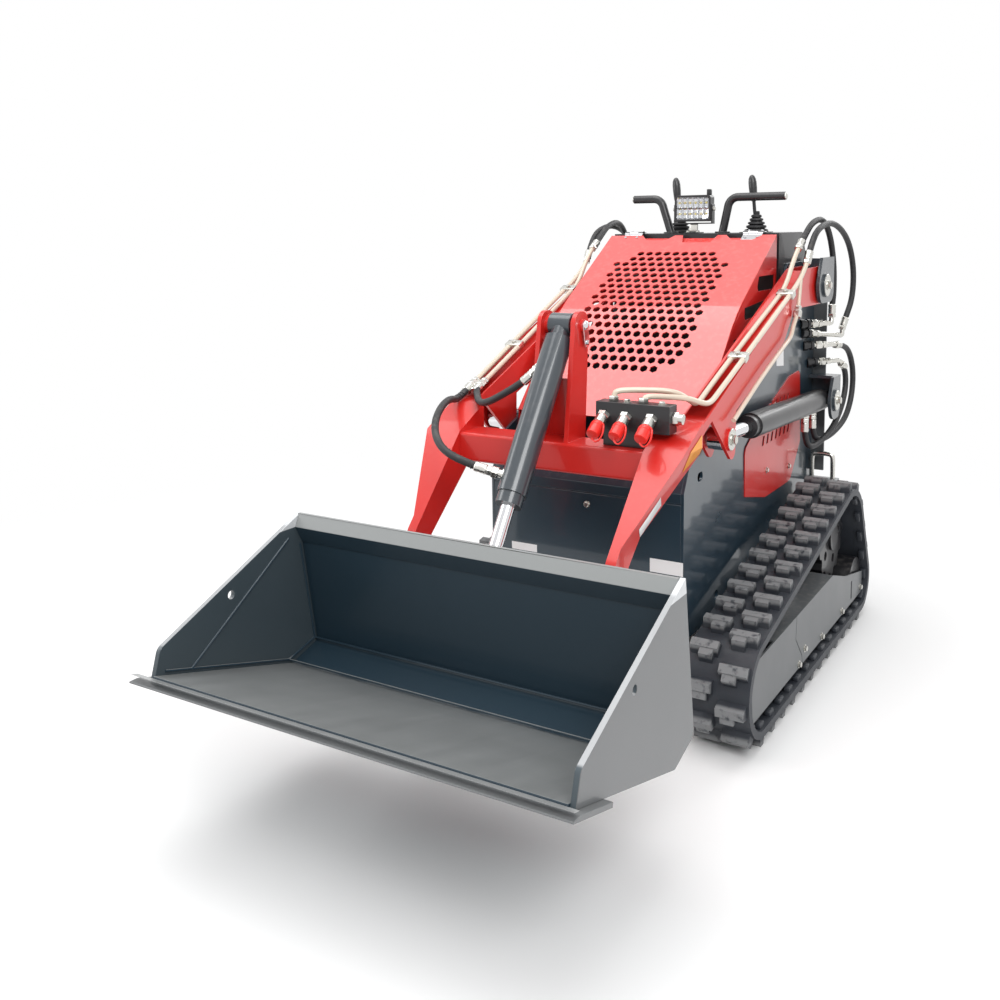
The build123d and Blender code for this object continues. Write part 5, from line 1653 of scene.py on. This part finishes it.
    def _elbows(self, side: str, sign: int) -> None:
        """The bulkhead fittings of one side, each with an elbow to its hose.

        Args:
            side: the side that they are on.
            sign: that side's sign along X.
        """
        metal, nuts = Shape(), Shape()
        near, far = self.elbow_straight
        for (foot_y, foot_z), knee, mouth in self.bulkheads:
            foot = mm(self.body_half * sign, foot_y, foot_z)
            knee, mouth = (mm(x * sign, y, z) for x, y, z in (knee, mouth))
            run = (knee - foot).normalized()
            nuts.turned(foot, run, self.bulkhead_nut, 20)
            for start, across, height in self.bulkhead_adaptors:
                metal.nut(foot + run * start * MM, run, across, height)
            bend = (knee - run * self.elbow_short * MM, knee, knee + (mouth - knee) * 0.4, mouth)
            metal.tube((foot + run * near * MM, foot + run * far * MM, *bend), self.elbow_radius, 5)
        metal.piece(f"side_elbows_{side}", Finish.PLATED, self.palette, "chassis")
        nuts.piece(f"side_nuts_{side}", Finish.BLACK, self.palette, "chassis")


@dataclass
class Couplers:
    """Quick couplers under red caps, with their lanyards, and the block's nuts."""

    palette: Palette
    xs: tuple[float, ...] = (145.0, 203.0, 269.0)
    foot: Flat = (-284.0, 862.0)
    way: Spot = (0.0, -0.85, -0.53)
    adaptor: Flat = (31.0, 13.0)
    sleeve: Profile = (
        (12, 12), (16, 12), (17, 14.5), (36, 14.5), (37, 13), (48, 13), (49, 15), (58, 15),
    )
    cap_from: float = 46.0
    cap: Profile = ((-6, 16), (0, 17.4), (5, 17.4), (6, 16.4), (26, 16.4), (31, 15), (33, 10))
    lanyard: tuple[Spot, ...] = ((12, 4, 8), (26, -14, 10), (28, -30, -18), (10, -34, -36), (-2, -26, -24))
    lanyard_radius: float = 2.2
    block_top: Flat = (-262.0, 892.0)
    pipe_nuts: tuple[float, ...] = (160.0, 238.0)
    pipe_nut: Flat = (26.0, 13.0)
    plug_bolts: tuple[float, ...] = (196.0, 286.0)
    plug_across: float = 16.0
    end_nut: tuple[Spot, float, float] = ((313, -263, 860), 33, 18)
    end_plug: tuple[Spot, Profile] = ((331, -263, 860), ((0, 13), (10, 13), (12, 10)))

    def build(self) -> None:
        """Makes every piece."""
        axis = Vector(self.way).normalized()
        metal, caps = Shape(), Shape()
        for x in self.xs:
            base = mm(x, *self.foot)
            metal.nut(base, axis, *self.adaptor)
            metal.turned(base, axis, self.sleeve, 32)
            tip = base + axis * self.cap_from * MM
            caps.turned(tip, axis, self.cap, 32)
            caps.tube([tip + mm(*step) for step in self.lanyard], self.lanyard_radius, 2)
        for x in self.pipe_nuts:
            metal.nut(mm(x, *self.block_top), Axis.Z.value, *self.pipe_nut)
        for x in self.plug_bolts:
            metal.bolt(mm(x, *self.block_top), Axis.Z.value, self.plug_across)
        place, across, height = self.end_nut
        metal.nut(mm(*place), Axis.X.value, across, height)
        place, rows = self.end_plug
        metal.turned(mm(*place), Axis.X.value, rows, 28)
        metal.piece("couplers", Finish.PLATED, self.palette, "arms")
        caps.piece("coupler_caps", Finish.RED_CAP, self.palette, "arms")


@dataclass
class PinHeads:
    """A capsule keeper on each ear of the tilt mount, and plated discs over the other pins."""

    palette: Palette
    tilt_pin: Flat = (-220.0, 1068.0)
    keeper_radius: float = 13.0
    keeper_drop: float = 44.0
    keeper_lean: float = math.radians(12)
    keeper_xs: Flat = (60.0, 63.4)
    arc_step: int = 20
    dome: Profile = ((2, 12), (6, 11.6), (9, 8.5), (10.4, 4))
    keeper_bolt: float = 11.0
    # Each disc: x, y, z and radius, by body
    discs: dict[str, tuple[tuple[float, float, float, float], ...]] = field(default_factory=lambda: {
        "chassis": ((384.0, 826.0, 1118.0, 35.0), (384.0, 986.0, 727.0, 33.0)),
        "arms": ((368.0, -2.0, 769.0, 28.5),),
    })
    disc_thick: float = 2.0
    disc_bolt: float = 24.0

    def build(self) -> None:
        """Makes every piece."""
        self._keepers()
        for body, discs in self.discs.items():
            shape = Shape()
            for x, y, z, radius in discs:
                for _, sign in SIDES:
                    out = Vector((sign, 0, 0))
                    shape.turned(mm(sign * x, y, z), out, ((0, radius), (1.2, radius), (2, radius - 1)), 40)
                    shape.bolt(mm(sign * (x + self.disc_thick), y, z), out, self.disc_bolt)
            shape.piece(f"pin_discs_{body}", Finish.PLATED, self.palette, body)

    def _keepers(self) -> None:
        """A capsule plate on each ear, with its pin's domed head and its bolt."""
        y, z = self.tilt_pin
        lean = Matrix.Rotation(self.keeper_lean, 2)
        outline = []
        for start, drop in ((0, 0.0), (180, self.keeper_drop)):
            for degrees in range(start, start + 181, self.arc_step):
                angle = math.radians(degrees)
                spot = Vector((math.cos(angle), math.sin(angle))) * self.keeper_radius - Vector((0, drop))
                outline.append(Vector((y, z)) + lean @ spot)
        low = Vector((y, z)) + lean @ Vector((0, -self.keeper_drop))
        near, far = self.keeper_xs
        shape = Shape()
        for _, sign in SIDES:
            out = Vector((sign, 0, 0))
            shape.plate([mm(sign * near, *spot) for spot in outline], mm(sign * (far - near), 0, 0), 0.0006)
            shape.turned(mm(sign * near, y, z), out, self.dome, 28)
            shape.bolt(mm(sign * (near + 3), *low), out, self.keeper_bolt)
        shape.piece("tilt_pin_keepers", Finish.CHROME, self.palette, "arms")


@dataclass
class ChassisTrim:
    """Bolts, blank labels, tie loops, and the fittings of the rear."""

    palette: Palette
    side_bolts: tuple[Flat, ...] = ((619.0, 759.0), (541.0, 570.0), (771.0, 537.0), (366.0, 724.0))
    side_face: float = 288.6
    front_bolt: Spot = (12.0, -116.4, 581.0)
    film: float = 0.15
    film_edge: float = 0.00003
    side_label_x: float = 285.1
    side_label: tuple[Flat, ...] = ((629, 928), (702, 920), (705, 870), (632, 878))
    front_label_y: float = -116.1
    front_labels: tuple[tuple[Flat, Flat], ...] = (((193, 426), (284, 462)), ((-222, 425), (-142, 446)))
    leg_face: float = 363.0
    leg_bend_z: float = 784.0
    leg_taper: float = 77 / 184
    amber_label: tuple[tuple[Flat, ...], ...] = (
        ((-275, 785), (-200, 815), (-198, 784), (-274.9, 784)),
        ((-274.9, 784), (-198, 784), (-197, 768), (-272, 735)),
    )
    white_label: tuple[tuple[Flat, ...], ...] = (((-418, 628), (-358, 693), (-328, 666), (-388, 601)),)
    loop_y: float = 1010.0
    loop_radius: float = 8.0
    loop: tuple[Flat, ...] = (
        (298, 446), (298, 480), (298, 512), (300, 534), (320, 537), (346, 537), (366, 534), (368, 512),
        (368, 480), (368, 446),
    )
    shelf: tuple[Spot, Spot] = ((285.0, -22.0, 445.0), (385.0, 22.0, 453.0))
    cover: Spot = (210.0, 600.0, 860.0)
    cover_thick: float = 3.0
    cover_inset: float = 18.0
    rear_face: float = 1053.0
    stud: Profile = ((0, 8), (2, 8), (4, 5))
    stud_first: Spot = (-231.0, 1082.0, 243.0)
    stud_pitch: Flat = (42.0, 27.0)
    stud_count: tuple[int, int] = (12, 4)

    def build(self) -> None:
        """Makes every piece."""
        self._bolts()
        self._labels()
        self._loops()
        self._rear()

    def _bolts(self) -> None:
        """Bolts of the side panels and the front sheet."""
        shape = Shape()
        for _, sign in SIDES:
            for y, z in self.side_bolts:
                shape.bolt(mm(sign * self.side_face, y, z), Vector((sign, 0, 0)), 14)
        shape.bolt(mm(*self.front_bolt), -Axis.Y.value)
        shape.piece("panel_bolts", Finish.PLATED, self.palette, "chassis")

    def _labels(self) -> None:
        """Blank labels on the body's side, the front sheet and the left leg."""
        shape = Shape()
        out = mm(self.film, 0, 0)
        shape.plate([mm(self.side_label_x, y, z) for y, z in self.side_label], out, self.film_edge)
        for low, high in self.front_labels:
            corners = [mm(x, self.front_label_y, z) for x, z in rectangle(low, high)]
            shape.plate(corners, mm(0, -self.film, 0), self.film_edge)
        shape.piece("body_labels", Finish.WHITE_FILM, self.palette, "chassis")
        for name, parts, finish in (
            ("arm_label_amber", self.amber_label, Finish.AMBER_FILM),
            ("arm_label_white", self.white_label, Finish.WHITE_FILM),
        ):
            shape = Shape()
            for spots in parts:
                insets = [max(0.0, self.leg_bend_z - z) * self.leg_taper for _, z in spots]
                corners = [mm(self.leg_face - inset, *spot) for inset, spot in zip(insets, spots)]
                shape.plate(corners, out, self.film_edge)
            shape.piece(name, finish, self.palette, "arms")

    def _loops(self) -> None:
        """A bent tie-down loop on each side, on its shelf."""
        loops, shelves = Shape(), Shape()
        (near, front, low), (far, back, high) = self.shelf
        for _, sign in SIDES:
            loops.tube([mm(sign * x, self.loop_y, z) for x, z in self.loop], self.loop_radius, 5)
            first, last = sorted((sign * near, sign * far))
            shelves.block(mm(first, self.loop_y + front, low), mm(last, self.loop_y + back, high), 0.0012)
        loops.piece("tie_loops", Finish.PLATED, self.palette, "chassis")
        shelves.piece("tie_shelves", Finish.SLATE, self.palette, "chassis")

    def _rear(self) -> None:
        """A bolted cover on the rear plate and a studded platform, of a usual kind."""
        half, low, high = self.cover
        face = self.rear_face + self.cover_thick
        cover, studs, bolts = Shape(), Shape(), Shape()
        cover.block(mm(-half, self.rear_face, low), mm(half, face, high))
        cover.piece("rear_cover", Finish.GREY, self.palette, "chassis")
        for x in (-half + self.cover_inset, 0, half - self.cover_inset):
            for z in (low + self.cover_inset, high - self.cover_inset):
                bolts.bolt(mm(x, face, z), Axis.Y.value, 13)
        bolts.piece("rear_cover_bolts", Finish.PLATED, self.palette, "chassis")
        for row in range(self.stud_count[1]):
            for column in range(self.stud_count[0]):
                step = mm(column * self.stud_pitch[0], row * self.stud_pitch[1], 0)
                studs.turned(mm(*self.stud_first) + step, Axis.Z.value, self.stud, 10)
        studs.piece("platform_studs", Finish.PLATED, self.palette, "chassis")


@dataclass
class UndercarriageTrim:
    """Guide lugs inside the tracks and the guards' bolts."""

    palette: Palette
    track: TrackPath
    middle: float = 399.5
    belt_depth: float = 46.0
    pitch: float = 84.0
    row_offset: float = 70.0
    lug_half: Flat = (8.0, 17.0)
    lug_height: float = 15.0
    guard_face: float = 470.6
    guard_bolts: tuple[Flat, ...] = ((285, 86), (341, 113), (523, 86), (758, 88), (1000, 95))

    def build(self) -> None:
        """Makes every piece."""
        for side, sign in SIDES:
            lugs, bolts = Shape(), Shape()
            for y, z, angle in self.track.spots(self.belt_depth, self.pitch):
                inward = Vector((0, -math.cos(angle), -math.sin(angle)))
                for offset in (-self.row_offset, self.row_offset):
                    place = facing(mm(sign * (self.middle + offset), y, z) - inward * MM, inward)
                    self._lug(lugs, place)
            lugs.piece(f"guide_lugs_{side}", Finish.TRACK, self.palette, "chassis")
            for y, z in self.guard_bolts:
                bolts.bolt(mm(sign * self.guard_face, y, z), Vector((sign, 0, 0)), 17)
            bolts.piece(f"guard_bolts_{side}", Finish.PLATED, self.palette, "chassis")

    def _lug(self, shape: Shape, place: Matrix) -> None:
        """Adds one lug, longer along the belt than across it.

        Args:
            shape: the piece that gets it.
            place: where it stands.
        """
        across = place.to_3x3().inverted() @ Axis.X.value
        short, long = self.lug_half
        dx, dy = (short, long) if abs(across.x) > abs(across.y) else (long, short)
        shape.block(mm(-dx, -dy, 0), mm(dx, dy, self.lug_height), 0.003, place)


@dataclass
class BucketTrim:
    """Weld beads and the bright nose of the cutting edge."""

    palette: Palette
    half: float = 497.0
    reach: float = 527.0
    joint: tuple[Flat, ...] = ((-1108.0, 378.5), (-728.0, 266.0), (-633.0, 291.0), (-675.0, 547.0))
    crease: tuple[Flat, Flat] = ((-1038.0, 356.0), (-714.0, 569.0))
    bead: float = 3.0
    cross_bead: float = 2.4
    tip: Flat = (-1174.8, 389.5)
    nose: tuple[Flat, ...] = ((-0.5, 0.6), (17.0, -4.2), (17.5, -4.9), (0.0, -0.4))

    def build(self) -> None:
        """Makes every piece."""
        beads, nose = Shape(), Shape()
        for _, sign in SIDES:
            for ends in (*zip(self.joint, self.joint[1:]), self.crease):
                beads.tube([mm(sign * self.half, *end) for end in ends], self.bead, 2, 4)
        for place in self.joint[1:3]:
            beads.tube([mm(side * self.half, *place) for side in (-1, 1)], self.cross_bead, 2, 4)
        beads.piece("bucket_beads", Finish.BUCKET, self.palette, "bucket")
        y, z = self.tip
        corners = [mm(-self.reach, y + dy, z + dz) for dy, dz in self.nose]
        nose.plate(corners, mm(2 * self.reach, 0, 0), 0.0001)
        nose.piece("edge_nose", Finish.BARE, self.palette, "bucket")


def main() -> None:
    """Builds the picture."""
    logging.basicConfig(level=logging.INFO, format="%(name)s: %(message)s")
    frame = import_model()
    bpy.context.scene.view_settings.view_transform = "Standard"
    Camera().build()
    Studio().build()
    palette = Palette()
    palette.build()
    track = TrackPath()
    Skin(palette, frame, track).dress()
    for trim in (Hood, Levers, Lamp, Dash, ArmPipes, Plumbing, Couplers, PinHeads, ChassisTrim):
        log.info("building %s", trim.__name__)
        trim(palette).build()
    UndercarriageTrim(palette, track).build()
    BucketTrim(palette).build()


if __name__ == "__main__":
    main()
